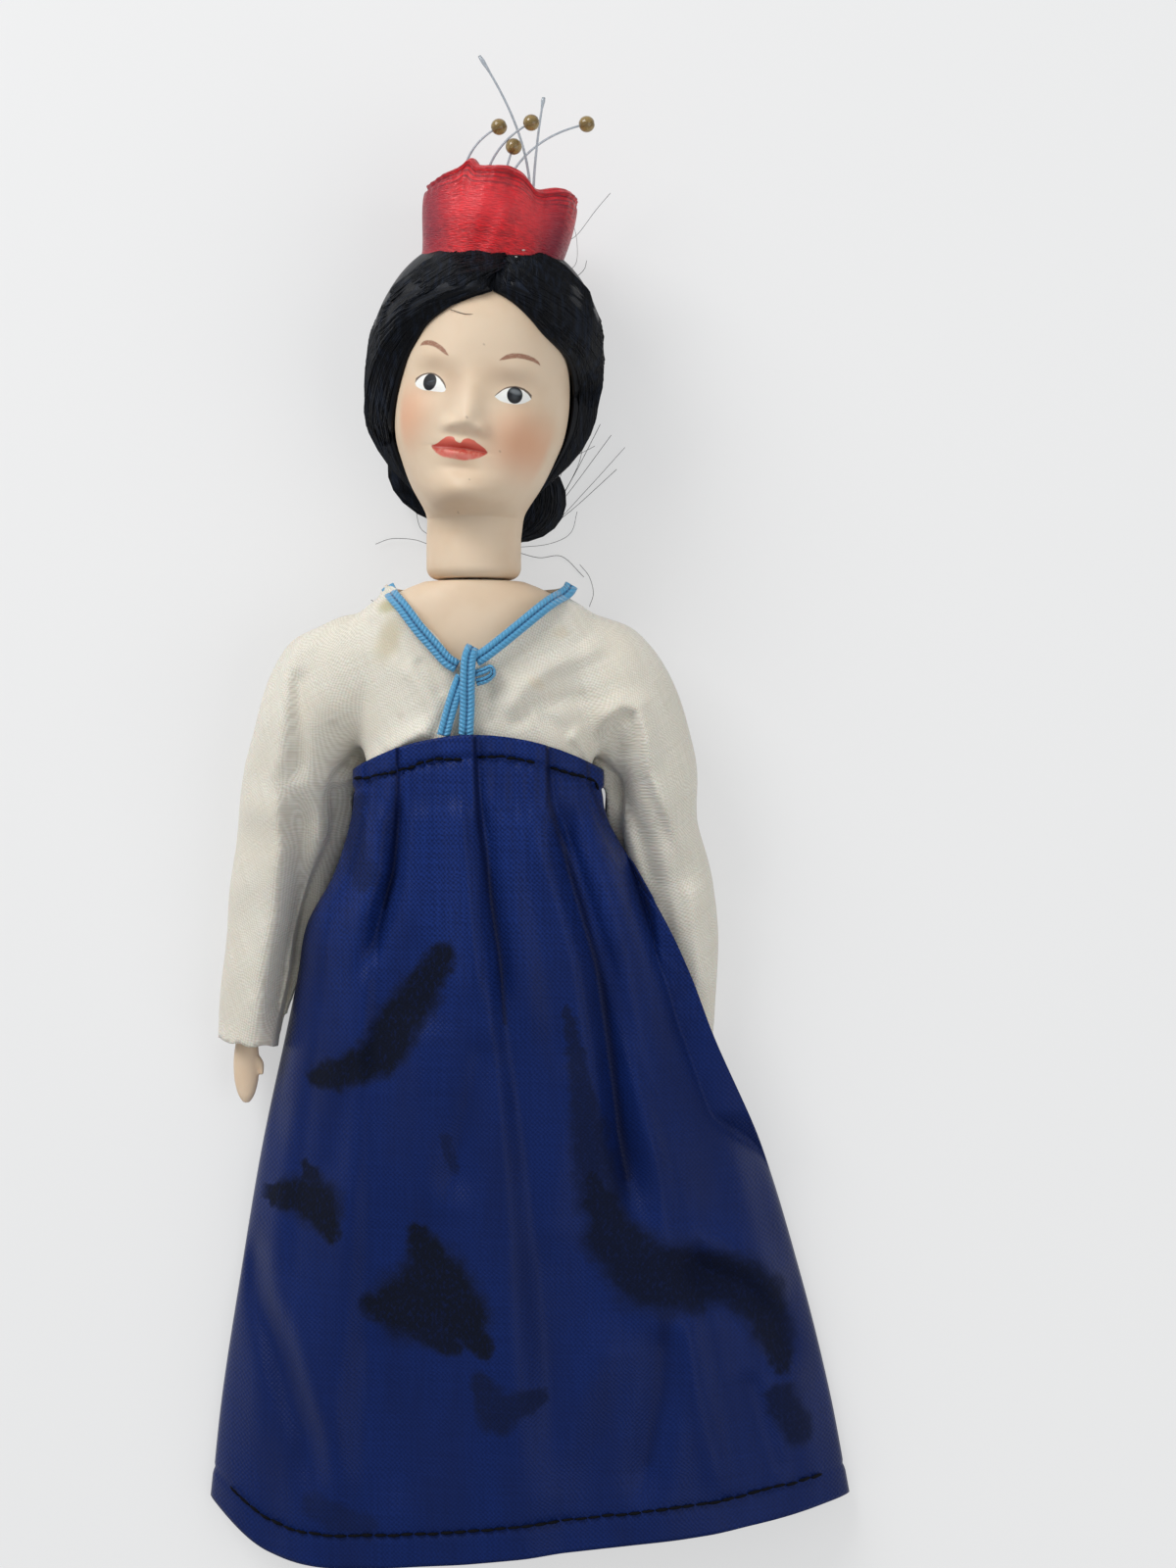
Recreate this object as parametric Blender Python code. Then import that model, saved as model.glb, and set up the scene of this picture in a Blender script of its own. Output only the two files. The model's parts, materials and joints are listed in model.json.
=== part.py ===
"""Small porcelain doll in Korean dress, lying on its back.

A hollow bisque head turns on an elastic in a bisque shoulder plate. The plate is glued to a stuffed
cloth body with bisque forearms and legs. The doll wears a blouse, a braid tie and a pleated skirt.
x runs to the viewer's right, y from the feet to the head, z up from the floor. Lengths are metres.
"""

import math

import bmesh
import bpy
from mathutils import Vector

# Clearances
GAP = 0.0003
LOOSE_FIT = 0.0006

# Neck and head; the neck axis runs along y at this height above the floor
NECK_AXIS_Z = 0.0145
NECK_RADIUS = 0.0067
NECK_LENGTH = 0.0087
NECK_FOOT_ROUND = 0.0016
NECK_PARTING = 0.0004
HEAD_HEIGHT = 0.0375
HEAD_HALF_WIDTH = 0.0123
HEAD_FRONT = 0.0147
HEAD_BACK = 0.0125
HEAD_CROWN_SHIFT = 0.0022
CROWN_RISE = 0.0002
HEAD_WALL = 0.0020
HEAD_COLUMNS = 30
HEAD_ROWS = 25
CAVITY_ROWS = 6

# Face, in its own frame: the middle of the eye line, leaning clockwise
EYE_LINE_X = 0.00025
EYE_LINE_Y = 0.0255
FACE_LEAN = math.radians(9.0)
EYE_SPACING = 0.0118
NOSE_HEIGHT = 0.0029

# Stringing of the neck
CORD_RADIUS = 0.0008
CORD_KNOT_RADIUS = 0.0019
CORD_HOLE_RADIUS = 0.0017
WASHER_RADIUS = 0.0040
WASHER_THICKNESS = 0.0010

# Hair
HAIR_TOP = 0.0021
HAIR_SIDE = 0.0042
HAIR_BACK = 0.0016
HAIR_COLUMNS = 26
HAIR_ROWS = 15
HAIRLINE_DEPTH = 0.0150
BUN_HALF_WIDTH = 0.0133
BUN_HALF_HEIGHT = 0.0079
BUN_THICKNESS = 0.0078
BUN_Y = 0.0145
BUN_LEAN = math.radians(9.0)

# Hat; its foot stands at this share of the head's height
HAT_X = 0.0030
HAT_BASE_SHARE = 0.875
HAT_BASE_Y = NECK_LENGTH + HEAD_HEIGHT * HAT_BASE_SHARE
HAT_AXIS_Z = 0.0166
HAT_HEIGHT = 0.0150
HAT_BASE_RADIUS = 0.0097
HAT_TOP_RADIUS = 0.0108
HAT_LEAN = math.radians(12.0)
HAT_LOBES = 7
HAT_LOBE_TURN = 2.1
HAT_LOBE_DEPTH = 0.0007
HAT_WELL_RADIUS = 0.0046
HAT_WELL_DEPTH = 0.0042
HAT_COLUMNS = 35

# Bristle sprig on the hat
BRISTLE_RADIUS = 0.00017
BRISTLE_STEPS = 7
BRISTLE_SIDES = 5
GLUE_RADIUS = 0.0026
BEAD_RADIUS = 0.00115
BEAD_BORE = 0.00038

# Shoulder plate
PLATE_LENGTH = 0.0190
PLATE_HALF_WIDTH = 0.0172
PLATE_FRONT = 0.0058
PLATE_BACK = 0.0082
PLATE_WALL = 0.0016
PLATE_HOLE_RADIUS = 0.0017
PLATE_COLUMNS = 28

# Stuffed body and limbs
BODY_TOP_Y = -0.0075
BODY_LENGTH = 0.0560
BODY_HALF_WIDTH = 0.0135
BODY_HALF_DEPTH = 0.0072
BODY_Z = 0.0127
UPPER_ARM_RADIUS = 0.0038
THIGH_RADIUS = 0.0062
ARM_RADIUS = 0.0026
LEG_RADIUS = 0.0044
SOLE_Y = -0.1330
FOOT_LENGTH = 0.0125
LIMB_COLUMNS = 12

# Blouse
BLOUSE_WALL = 0.0006
BLOUSE_HALF_WIDTH = 0.0166
BLOUSE_LENGTH = 0.0295
BLOUSE_FRONT = 0.0077
BLOUSE_BACK = 0.0108
BLOUSE_COLUMNS = 26
SLEEVE_COLUMNS = 14
SLEEVE_ROWS = 8
NECKLINE_DEPTH = 0.0112

# Braid tie
BRAID_WIDTH = 0.0019
BRAID_THICKNESS = 0.0011
BRAID_LIFT = 0.0007
KNOT_WIDTH = 0.0026
KNOT_LOOP = ((-0.0002, -0.0131), (0.0012, -0.0130), (0.0024, -0.0135), (0.0031, -0.0145))

# Skirt
SKIRT_WALL = 0.0005
SKIRT_TOP_Y = -0.0218
SKIRT_SIDE_DROP = 0.0048
SKIRT_LENGTH = 0.1165
SKIRT_HEM_WIDTH = 0.0934
SKIRT_TOP_X = 0.0008
SKIRT_SWING = 0.0070
SKIRT_TOP_BACK = 0.0022
PLEAT_DEPTH = 0.0010
PLEAT_WIDTH = 0.0052
SKIRT_FRONT_COLUMNS = 38
SKIRT_BACK_COLUMNS = 20

# Colours, roughness and metallic value
COLOURS = {
    "bisque": ((0.72, 0.58, 0.45), 0.55, 0.0),
    "hair": ((0.006, 0.007, 0.010), 0.35, 0.0),
    "satin": ((0.60, 0.01, 0.02), 0.30, 0.0),
    "bristle": ((0.60, 0.68, 0.75), 0.20, 0.0),
    "bead": ((0.35, 0.26, 0.10), 0.10, 0.0),
    "elastic": ((0.80, 0.78, 0.72), 0.80, 0.0),
    "washer": ((0.55, 0.40, 0.25), 0.70, 0.0),
    "muslin": ((0.80, 0.76, 0.68), 0.90, 0.0),
    "blouse": ((0.74, 0.69, 0.58), 0.75, 0.0),
    "braid": ((0.10, 0.38, 0.60), 0.60, 0.0),
    "taffeta": ((0.010, 0.026, 0.155), 0.45, 0.0),
}


def clear_scene():
    for old in list(bpy.data.objects):
        bpy.data.objects.remove(old, do_unlink=True)


def material(name):
    found = bpy.data.materials.get(name)
    if found:
        return found
    colour, roughness, metallic = COLOURS[name]
    made = bpy.data.materials.new(name)
    made.use_nodes = True
    shader = made.node_tree.nodes["Principled BSDF"]
    shader.inputs["Base Color"].default_value = (*colour, 1.0)
    shader.inputs["Roughness"].default_value = roughness
    shader.inputs["Metallic"].default_value = metallic
    made.diffuse_color = (*colour, 1.0)
    return made


def curve(keys, t):
    """The values at t on the smooth curve through keys, rows of (t, value, value, ...)."""
    if t <= keys[0][0]:
        return keys[0][1:]
    if t >= keys[-1][0]:
        return keys[-1][1:]
    k = max(i for i in range(len(keys) - 1) if keys[i][0] <= t)
    a, b = keys[k], keys[k + 1]
    before, after = keys[max(k - 1, 0)], keys[min(k + 2, len(keys) - 1)]
    step = b[0] - a[0]
    u = (t - a[0]) / step
    out = []
    for c in range(1, len(a)):
        slope_a = (b[c] - before[c]) / (b[0] - before[0]) * step
        slope_b = (after[c] - a[c]) / (after[0] - a[0]) * step
        out.append(
            a[c] * (2 * u**3 - 3 * u**2 + 1)
            + slope_a * (u**3 - 2 * u**2 + u)
            + b[c] * (3 * u**2 - 2 * u**3)
            + slope_b * (u**3 - u**2)
        )
    return tuple(out)


def fade(low, high, value):
    """0 below low, 1 above high and smooth between."""
    u = min(max((value - low) / (high - low), 0.0), 1.0)
    return u * u * (3 - 2 * u)


def skin(rings, closed=False):
    """Vertices and faces through rings of points; a ring of one point is a pole."""
    points, faces, starts = [], [], []
    for ring in rings:
        starts.append(len(points))
        points.extend(ring)
    pairs = list(zip(range(len(rings) - 1), range(1, len(rings))))
    if closed:
        pairs.append((len(rings) - 1, 0))
    for a, b in pairs:
        count = max(len(rings[a]), len(rings[b]))
        for i in range(count):
            j = (i + 1) % count
            corners = []
            for ring, order in ((a, (i, j)), (b, (j, i))):
                if len(rings[ring]) == 1:
                    corners.append(starts[ring])
                else:
                    corners.extend(starts[ring] + k for k in order)
            faces.append(corners)
    if not closed:
        for ring in (0, len(rings) - 1):
            count = len(rings[ring])
            if count > 1:
                faces.append([starts[ring] + i for i in range(count)])
    return points, faces


def add_object(name, points, faces, colour, parent=None, smooth=True):
    mesh = bpy.data.meshes.new(name)
    mesh.from_pydata([tuple(p) for p in points], [], faces)
    work = bmesh.new()
    work.from_mesh(mesh)
    bmesh.ops.recalc_face_normals(work, faces=work.faces)
    work.to_mesh(mesh)
    work.free()
    if smooth:
        mesh.shade_smooth()
        mesh.set_sharp_from_angle(angle=math.radians(50))
    mesh.materials.append(material(colour))
    made = bpy.data.objects.new(name, mesh)
    bpy.context.scene.collection.objects.link(made)
    made.parent = parent
    return made


def cutter(name, rings, parent):
    """A guide body for a Boolean: it isn't a piece of the doll."""
    made = add_object(name, *skin(rings), "muslin", parent, smooth=False)
    made.hide_render = True
    made.display_type = "WIRE"
    return made


def combine(piece, other, operation):
    step = piece.modifiers.new(f"{operation.lower()} {other.name}", "BOOLEAN")
    step.operation = operation
    step.solver = "EXACT"
    step.object = other


def oval(x, y, z, half_width, front, back, columns, power=2.0, crowd=0.0):
    """A ring across y: front reaches up from z, back down; crowd packs the points to the front."""
    ring = []
    for i in range(columns):
        a = 2 * math.pi * i / columns
        a += crowd * math.cos(a)
        c, s = math.cos(a), math.sin(a)
        depth = front if s > 0 else back
        ring.append(
            Vector((
                x + half_width * math.copysign(abs(c) ** (2 / power), c),
                y,
                z + depth * math.copysign(abs(s) ** (2 / power), s),
            ))
        )
    return ring


def limb_rings(keys, columns, rows, grow=0.0, past_start=0.0, past_end=0.0):
    """Rings along a limb from keys of (t, x, y, z, half width, half height)."""
    rings = []
    for row in range(rows):
        t = row / (rows - 1)
        x, y, z, half_width, half_height = curve(keys, t)
        low = curve(keys, max(t - 0.02, 0.0))
        high = curve(keys, min(t + 0.02, 1.0))
        along = Vector((high[0] - low[0], high[1] - low[1], 0.0)).normalized()
        across = Vector((along.y, -along.x, 0.0))
        centre = Vector((x, y, z))
        if row == 0:
            centre -= along * past_start
        if row == rows - 1:
            centre += along * past_end
        ring = []
        for i in range(columns):
            a = 2 * math.pi * i / columns
            side = across * (half_width + grow) * math.cos(a)
            ring.append(centre + side + Vector((0, 0, (half_height + grow) * math.sin(a))))
        rings.append(ring)
    return rings


def turned_rings(profile, columns, x=0.0, z=NECK_AXIS_Z):
    """Rings about the neck axis from a profile of (y, radius); a radius of 0 is a pole."""
    rings = []
    for y, radius in profile:
        if radius == 0:
            rings.append([Vector((x, y, z))])
        else:
            rings.append(oval(x, y, z, radius, radius, radius, columns))
    return rings


# Head form: share of head height, then shares of half width, front and back depth
HEAD_FORM = (
    (0.000, 0.553, 0.50, 0.56),
    (0.024, 0.570, 0.70, 0.58),
    (0.048, 0.605, 0.86, 0.60),
    (0.078, 0.660, 0.935, 0.64),
    (0.115, 0.730, 0.955, 0.69),
    (0.160, 0.800, 0.945, 0.75),
    (0.220, 0.875, 0.945, 0.82),
    (0.300, 0.960, 0.955, 0.91),
    (0.400, 1.000, 0.955, 0.97),
    (0.530, 0.990, 0.965, 1.00),
    (0.640, 0.980, 0.980, 0.99),
    (0.750, 0.925, 0.940, 0.93),
    (0.840, 0.800, 0.820, 0.80),
    (0.920, 0.600, 0.620, 0.60),
    (0.975, 0.340, 0.350, 0.34),
    (1.000, 0.050, 0.050, 0.05),
)


def face_relief(x, y):
    """How far the face stands out at x, y from the plain egg of the head."""
    dx, dy = x - EYE_LINE_X, y - EYE_LINE_Y
    across = dx * math.cos(FACE_LEAN) - dy * math.sin(FACE_LEAN)
    up = dx * math.sin(FACE_LEAN) + dy * math.cos(FACE_LEAN)
    eye = EYE_SPACING / 2
    unit = EYE_SPACING
    bumps = [
        (0, -0.15 * unit, 0.11 * unit, 0.24 * unit, 0.40 * NOSE_HEIGHT),
        (0, -0.44 * unit, 0.12 * unit, 0.13 * unit, NOSE_HEIGHT),
        (0, -0.70 * unit, 0.22 * unit, 0.055 * unit, 0.0007),
        (0, -0.83 * unit, 0.19 * unit, 0.060 * unit, 0.0008),
        (0, -1.22 * unit, 0.28 * unit, 0.17 * unit, 0.0010),
    ]
    for side in (-1, 1):
        bumps += [
            (side * 0.16 * unit, -0.53 * unit, 0.08 * unit, 0.07 * unit, 0.0009),
            (side * eye, 0.03 * unit, 0.24 * unit, 0.15 * unit, -0.0013),
            (side * eye, 0.0, 0.15 * unit, 0.09 * unit, 0.0009),
            (side * 0.58 * unit, -0.34 * unit, 0.27 * unit, 0.27 * unit, 0.0006),
        ]
    return sum(
        height * math.exp(-(((across - cx) / wide) ** 2) - ((up - cy) / tall) ** 2)
        for cx, cy, wide, tall, height in bumps
    )


def head_centre_x(y):
    return HEAD_CROWN_SHIFT * fade(0, NECK_LENGTH + HEAD_HEIGHT, y)


def head_rings(grow=0.0, columns=HEAD_COLUMNS, rows=HEAD_ROWS, face=True):
    """The outside of neck and head, from the foot of the neck to the crown."""
    foot = NECK_PARTING
    rings = []
    for k in range(4):
        a = math.pi / 2 * k / 3
        y = foot + NECK_FOOT_ROUND * (1 - math.sin(a)) - grow * (1 - k / 3)
        radius = NECK_RADIUS - NECK_FOOT_ROUND * (1 - math.cos(a)) + grow
        rings.append(oval(0, y, NECK_AXIS_Z, radius, radius, radius, columns, crowd=0.35))
    rings.reverse()
    middle = NECK_LENGTH * 0.7
    rings.append(
        oval(0, middle, NECK_AXIS_Z, NECK_RADIUS + grow, NECK_RADIUS + grow, NECK_RADIUS + grow,
             columns, crowd=0.35)
    )
    for row in range(rows):
        t = (row / (rows - 1)) ** 1.12
        wide, front, back = curve(HEAD_FORM, t)
        y = NECK_LENGTH + HEAD_HEIGHT * t
        ring = oval(
            head_centre_x(y), y + grow * fade(0.6, 1.0, t), NECK_AXIS_Z,
            HEAD_HALF_WIDTH * wide + grow, HEAD_FRONT * front + grow, HEAD_BACK * back + grow,
            columns, power=2.0 + 0.25 * math.sin(math.pi * min(t * 1.3, 1.0)), crowd=0.35,
        )
        if face:
            for p in ring:
                height = (p.z - NECK_AXIS_Z) / HEAD_FRONT
                p.z += face_relief(p.x, p.y) * fade(0.1, 0.6, height)
        rings.append(ring)
    return rings


def make_head(parent):
    outer = head_rings()
    cavity = []
    neck_bore = NECK_RADIUS - HEAD_WALL
    for row in range(CAVITY_ROWS):
        t = 0.96 - 0.86 * row / (CAVITY_ROWS - 1)
        wide, front, back = curve(HEAD_FORM, t)
        y = NECK_LENGTH + HEAD_HEIGHT * t - HEAD_WALL * fade(0.5, 0.96, t)
        cavity.append(oval(
            head_centre_x(y), y, NECK_AXIS_Z, HEAD_HALF_WIDTH * wide - HEAD_WALL,
            HEAD_FRONT * front - HEAD_WALL, HEAD_BACK * back - HEAD_WALL, HEAD_COLUMNS, crowd=0.35,
        ))
    floor = NECK_PARTING + HEAD_WALL
    for y in (NECK_LENGTH, floor):
        cavity.append(oval(0, y, NECK_AXIS_Z, neck_bore, neck_bore, neck_bore, HEAD_COLUMNS, crowd=0.35))
    for y in (floor, NECK_PARTING):
        cavity.append(oval(0, y, NECK_AXIS_Z, CORD_HOLE_RADIUS, CORD_HOLE_RADIUS, CORD_HOLE_RADIUS,
                           HEAD_COLUMNS, crowd=0.35))
    crown = sum(outer[-1], Vector()) / len(outer[-1]) + Vector((0, CROWN_RISE, 0))
    under = sum(cavity[0], Vector()) / len(cavity[0])
    outside = skin_open([*outer, [crown]])
    inside = skin_open([[under], *cavity])
    return join_shell("head", outside, inside, len(outer[0]), "bisque", parent)


def skin_open(rings):
    """Like skin, with no caps, for a shell that is joined to another at its rim."""
    points, faces = skin(rings)
    return points, [f for f in faces if len(f) <= 4]


def join_shell(name, outside, inside, columns, colour, parent):
    """Joins an outside whose first ring and an inside whose last ring share one rim."""
    points = outside[0] + inside[0]
    shift = len(outside[0])
    faces = outside[1] + [[i + shift for i in f] for f in inside[1]]
    last = len(points) - columns
    for i in range(columns):
        j = (i + 1) % columns
        faces.append([i, j, last + j, last + i])
    return add_object(name, points, faces, colour, parent)


def make_neck_stringing(head_frame, body_frame):
    floor = NECK_PARTING + HEAD_WALL
    low = floor + GAP
    high = low + WASHER_THICKNESS
    bore = CORD_RADIUS + GAP
    washer = [(low, bore), (low, WASHER_RADIUS), (high, WASHER_RADIUS), (high, bore)]
    add_object("neck_washer", *skin(turned_rings(washer, 20), closed=True), "washer", head_frame)
    knot = high + GAP
    end = -PLATE_WALL - GAP
    cord = [
        (knot + 2.0 * CORD_KNOT_RADIUS, 0),
        (knot + 1.7 * CORD_KNOT_RADIUS, 0.7 * CORD_KNOT_RADIUS),
        (knot + 1.0 * CORD_KNOT_RADIUS, CORD_KNOT_RADIUS),
        (knot, 0.75 * CORD_KNOT_RADIUS),
        (knot, CORD_RADIUS),
        (end, CORD_RADIUS),
        (end, 1.3 * CORD_KNOT_RADIUS),
        (end - 1.0 * CORD_KNOT_RADIUS, 1.4 * CORD_KNOT_RADIUS),
        (end - 1.6 * CORD_KNOT_RADIUS, 0.8 * CORD_KNOT_RADIUS),
        (end - 1.8 * CORD_KNOT_RADIUS, 0),
    ]
    add_object("neck_elastic", *skin(turned_rings(cord, 12)), "elastic", body_frame)


# Hair form: share of head height, then its reach past the head at the side, front and back
HAIR_FORM = (
    (0.05, -0.40, -1.30, 0.75),
    (0.14, 0.10, -1.05, 0.90),
    (0.24, 0.60, -0.80, 1.00),
    (0.36, 0.90, -0.52, 1.00),
    (0.48, 1.02, -0.30, 1.00),
    (0.60, 1.08, -0.12, 1.00),
    (0.70, 1.08, 0.05, 1.00),
    (0.80, 1.05, 0.11, 1.00),
    (0.90, 0.95, 0.14, 1.10),
    (1.00, 0.80, 0.20, 1.20),
)


def hair_rings(grow=0.0, columns=HAIR_COLUMNS, rows=HAIR_ROWS):
    """The outside of the hair on the head, from the nape to the top."""
    rings = []
    for row in range(rows):
        t = 0.05 + 0.95 * row / (rows - 1)
        wide, front, back = curve(HEAD_FORM, min(t, 0.985))
        side_share, front_share, back_share = curve(HAIR_FORM, t)
        y = NECK_LENGTH + HEAD_HEIGHT * t + HAIR_TOP * fade(0.7, 1.0, t)
        rings.append(oval(
            head_centre_x(y), y + grow * fade(0.6, 1.0, t) - grow * (row == 0), NECK_AXIS_Z,
            HEAD_HALF_WIDTH * wide + HAIR_SIDE * side_share + grow,
            HEAD_FRONT * (front + front_share) + grow,
            HEAD_BACK * back + HAIR_BACK * back_share + grow,
            columns,
        ))
    return rings


# Hairline on the forehead, as shares of the head's half width and height
HAIRLINE = (
    (0.08, 0.805), (-0.16, 0.79), (-0.38, 0.755), (-0.60, 0.70), (-0.80, 0.60), (-0.92, 0.47),
    (-0.98, 0.20), (-0.98, -0.30), (1.02, -0.30), (1.02, 0.30), (1.00, 0.50), (0.90, 0.585),
    (0.62, 0.66), (0.40, 0.74), (0.20, 0.79),
)


def hairline_rings():
    """The window in the hair that the face looks out of."""
    rings = []
    for z in (NECK_AXIS_Z + 0.1 * HEAD_FRONT, NECK_AXIS_Z + HEAD_FRONT + HAIRLINE_DEPTH):
        rings.append([
            Vector((
                head_centre_x(NECK_LENGTH + HEAD_HEIGHT * up) + across * HEAD_HALF_WIDTH,
                NECK_LENGTH + HEAD_HEIGHT * up,
                z,
            ))
            for across, up in HAIRLINE
        ])
    return rings


def make_hair(parent):
    hair = add_object("wig", *skin(hair_rings()), "hair", parent)
    combine(hair, cutter("wig_head_room", head_rings(GAP, face=False), parent), "DIFFERENCE")
    combine(hair, cutter("wig_face_window", hairline_rings(), parent), "DIFFERENCE")


def bun_rings():
    rings = []
    rows, columns = 9, 22
    z = BUN_THICKNESS / 2
    for row in range(1, rows):
        a = -math.pi / 2 + math.pi * row / rows
        ring = []
        for i in range(columns):
            b = 2 * math.pi * i / columns
            c = math.copysign(abs(math.cos(b)) ** 0.85, math.cos(b))
            s = math.copysign(abs(math.sin(b)) ** 0.85, math.sin(b))
            across = BUN_HALF_WIDTH * c * math.cos(a) ** 0.7
            up = BUN_HALF_HEIGHT * math.sin(a)
            ring.append(Vector((
                across * math.cos(BUN_LEAN) + up * math.sin(BUN_LEAN),
                BUN_Y - across * math.sin(BUN_LEAN) + up * math.cos(BUN_LEAN),
                z + BUN_THICKNESS / 2 * s * math.cos(a) ** 0.6,
            )))
        rings.append(ring)
    return rings


def make_bun(parent):
    bun = add_object("chignon", *skin(bun_rings()), "hair", parent)
    head_room = cutter("bun_head_room", head_rings(GAP, rows=14, face=False), parent)
    hair_room = cutter("bun_hair_room", hair_rings(GAP), parent)
    combine(bun, head_room, "DIFFERENCE")
    combine(bun, hair_room, "DIFFERENCE")


def hat_point(radius, height, angle, lobe):
    """A point of the hat: radius and angle about its leaning axis, height above its base."""
    wave = lobe * HAT_LOBE_DEPTH * math.cos(HAT_LOBES * angle + HAT_LOBE_TURN)
    x = (radius + wave) * math.cos(angle)
    z = (radius + wave) * math.sin(angle)
    height += wave * fade(0.5 * HAT_HEIGHT, HAT_HEIGHT, height)
    return Vector((
        HAT_X + x * math.cos(HAT_LEAN) + height * math.sin(HAT_LEAN),
        HAT_BASE_Y - x * math.sin(HAT_LEAN) + height * math.cos(HAT_LEAN),
        HAT_AXIS_Z + z,
    ))


def make_hat(parent):
    """A padded satin coronet with lobes, turned in at its top to a well that holds the sprig."""
    base, top, tall = HAT_BASE_RADIUS, HAT_TOP_RADIUS, HAT_HEIGHT
    well = HAT_WELL_RADIUS
    profile = (
        (base * 0.55, 0.0, 0.0), (base, 0.0, 0.3), (base + 0.0002, tall * 0.25, 0.5),
        (top, tall * 0.62, 0.9), (top * 0.985, tall * 0.86, 1.0), (top * 0.90, tall * 0.975, 1.0),
        (top * 0.78, tall, 1.0), (top * 0.64, tall * 0.965, 0.8), (well, tall - 0.6 * HAT_WELL_DEPTH, 0.3),
        (well * 0.8, tall - HAT_WELL_DEPTH, 0.0),
    )
    rings = [
        [hat_point(radius, height, 2 * math.pi * i / HAT_COLUMNS, lobe) for i in range(HAT_COLUMNS)]
        for radius, height, lobe in profile
    ]
    hat = add_object("hat", *skin(rings), "satin", parent)
    combine(hat, cutter("hat_hair_room", hair_rings(GAP), parent), "DIFFERENCE")


# Bristles: where each one ends, and a point that it bends through, from the foot of the sprig in millimetres
BRISTLES = {
    "long": ((3.2, 7.0, 1.0), (-3.4, 23.8, 4.0)),
    "short": ((2.4, 9.5, 2.6), (5.6, 18.2, 3.2)),
    "left": ((-6.6, 8.4, 0.6), (-0.2, 14.5, 1.8)),
    "middle": ((-2.2, 8.2, 3.6), (4.4, 14.4, 5.0)),
    "right": ((1.0, 9.2, -1.6), (11.8, 15.6, -0.6)),
    "low": ((0.4, 6.8, 3.2), (1.6, 11.4, 3.6)),
}
BEADED = ("left", "middle", "right", "low")


def sprig_foot():
    return hat_point(0.0, HAT_HEIGHT - HAT_WELL_DEPTH + GAP + 0.6 * GLUE_RADIUS, 0.0, 0.0)


def bristle_points(name, foot):
    """Points on the bend of one bristle, from inside the glue to its tip."""
    bend, tip = (Vector(p) * 0.001 for p in BRISTLES[name])
    start = Vector((bend.x, bend.y, bend.z)).normalized() * GLUE_RADIUS * 0.35
    points = []
    for k in range(BRISTLE_STEPS):
        t = k / (BRISTLE_STEPS - 1)
        control = 2 * bend - (start + tip) / 2
        points.append(foot + start * (1 - t) ** 2 + 2 * control * t * (1 - t) + tip * t * t)
    return points


def tube_rings(points, radius, columns):
    rings = []
    for k, p in enumerate(points):
        along = (points[min(k + 1, len(points) - 1)] - points[max(k - 1, 0)]).normalized()
        side = along.cross(Vector((0, 0, 1))).normalized()
        up = side.cross(along)
        rings.append([
            p + (side * math.cos(2 * math.pi * i / columns) + up * math.sin(2 * math.pi * i / columns)) * radius
            for i in range(columns)
        ])
    return rings


def make_sprig(parent):
    """Nylon bristles held in one drop of glue, with glass beads threaded on four of them."""
    foot = sprig_foot()
    rings = []
    for k in range(7):
        a = -math.pi / 2 + math.pi * k / 6
        y = foot.y + 0.6 * GLUE_RADIUS * math.sin(a)
        r = GLUE_RADIUS * math.cos(a)
        rings.append([Vector((foot.x, y, foot.z))] if k in (0, 6) else oval(foot.x, y, foot.z, r, r, r, 14))
    sprig = add_object("bristle_sprig", *skin(rings), "bristle", parent)
    for name in BRISTLES:
        points = bristle_points(name, foot)
        strand = cutter(f"bristle_{name}", tube_rings(points, BRISTLE_RADIUS, BRISTLE_SIDES), parent)
        combine(sprig, strand, "UNION")
        if name in BEADED:
            make_bead(f"bead_{name}", points, parent)


def make_bead(name, points, parent):
    """A round glass bead near the tip of its bristle, with the bristle through its bore."""
    along = (points[-1] - points[-2]).normalized()
    centre = points[-1] - along * BEAD_RADIUS * 0.9
    side = along.cross(Vector((0, 0, 1))).normalized()
    up = side.cross(along)
    reach = math.sqrt(BEAD_RADIUS**2 - BEAD_BORE**2)
    profile = [(-reach, BEAD_BORE)]
    profile += [(BEAD_RADIUS * math.sin(a), BEAD_RADIUS * math.cos(a)) for a in (-0.65, 0.0, 0.65)]
    profile += [(reach, BEAD_BORE)]
    rings = [
        [
            centre + along * offset
            + (side * math.cos(2 * math.pi * i / 10) + up * math.sin(2 * math.pi * i / 10)) * radius
            for i in range(10)
        ]
        for offset, radius in profile
    ]
    add_object(name, *skin(rings, closed=True), "bead", parent, smooth=False)


# Shoulder plate form: share of its length, then shares of half width, front and back depth
PLATE_FORM = (
    (0.00, 0.42, 0.95, 0.76),
    (0.05, 0.56, 1.00, 0.83),
    (0.15, 0.76, 1.06, 0.92),
    (0.32, 0.95, 1.10, 1.00),
    (0.55, 1.00, 1.12, 1.03),
    (1.00, 0.96, 1.12, 1.05),
)


def plate_rings(inset, shares):
    rings = []
    for t in shares:
        wide, front, back = curve(PLATE_FORM, t)
        rings.append(oval(
            0, -PLATE_LENGTH * t - inset * (1 - fade(0.0, 0.5, t)), NECK_AXIS_Z,
            PLATE_HALF_WIDTH * wide - inset, PLATE_FRONT * front - inset, PLATE_BACK * back - inset,
            PLATE_COLUMNS,
        ))
    return rings


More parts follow.
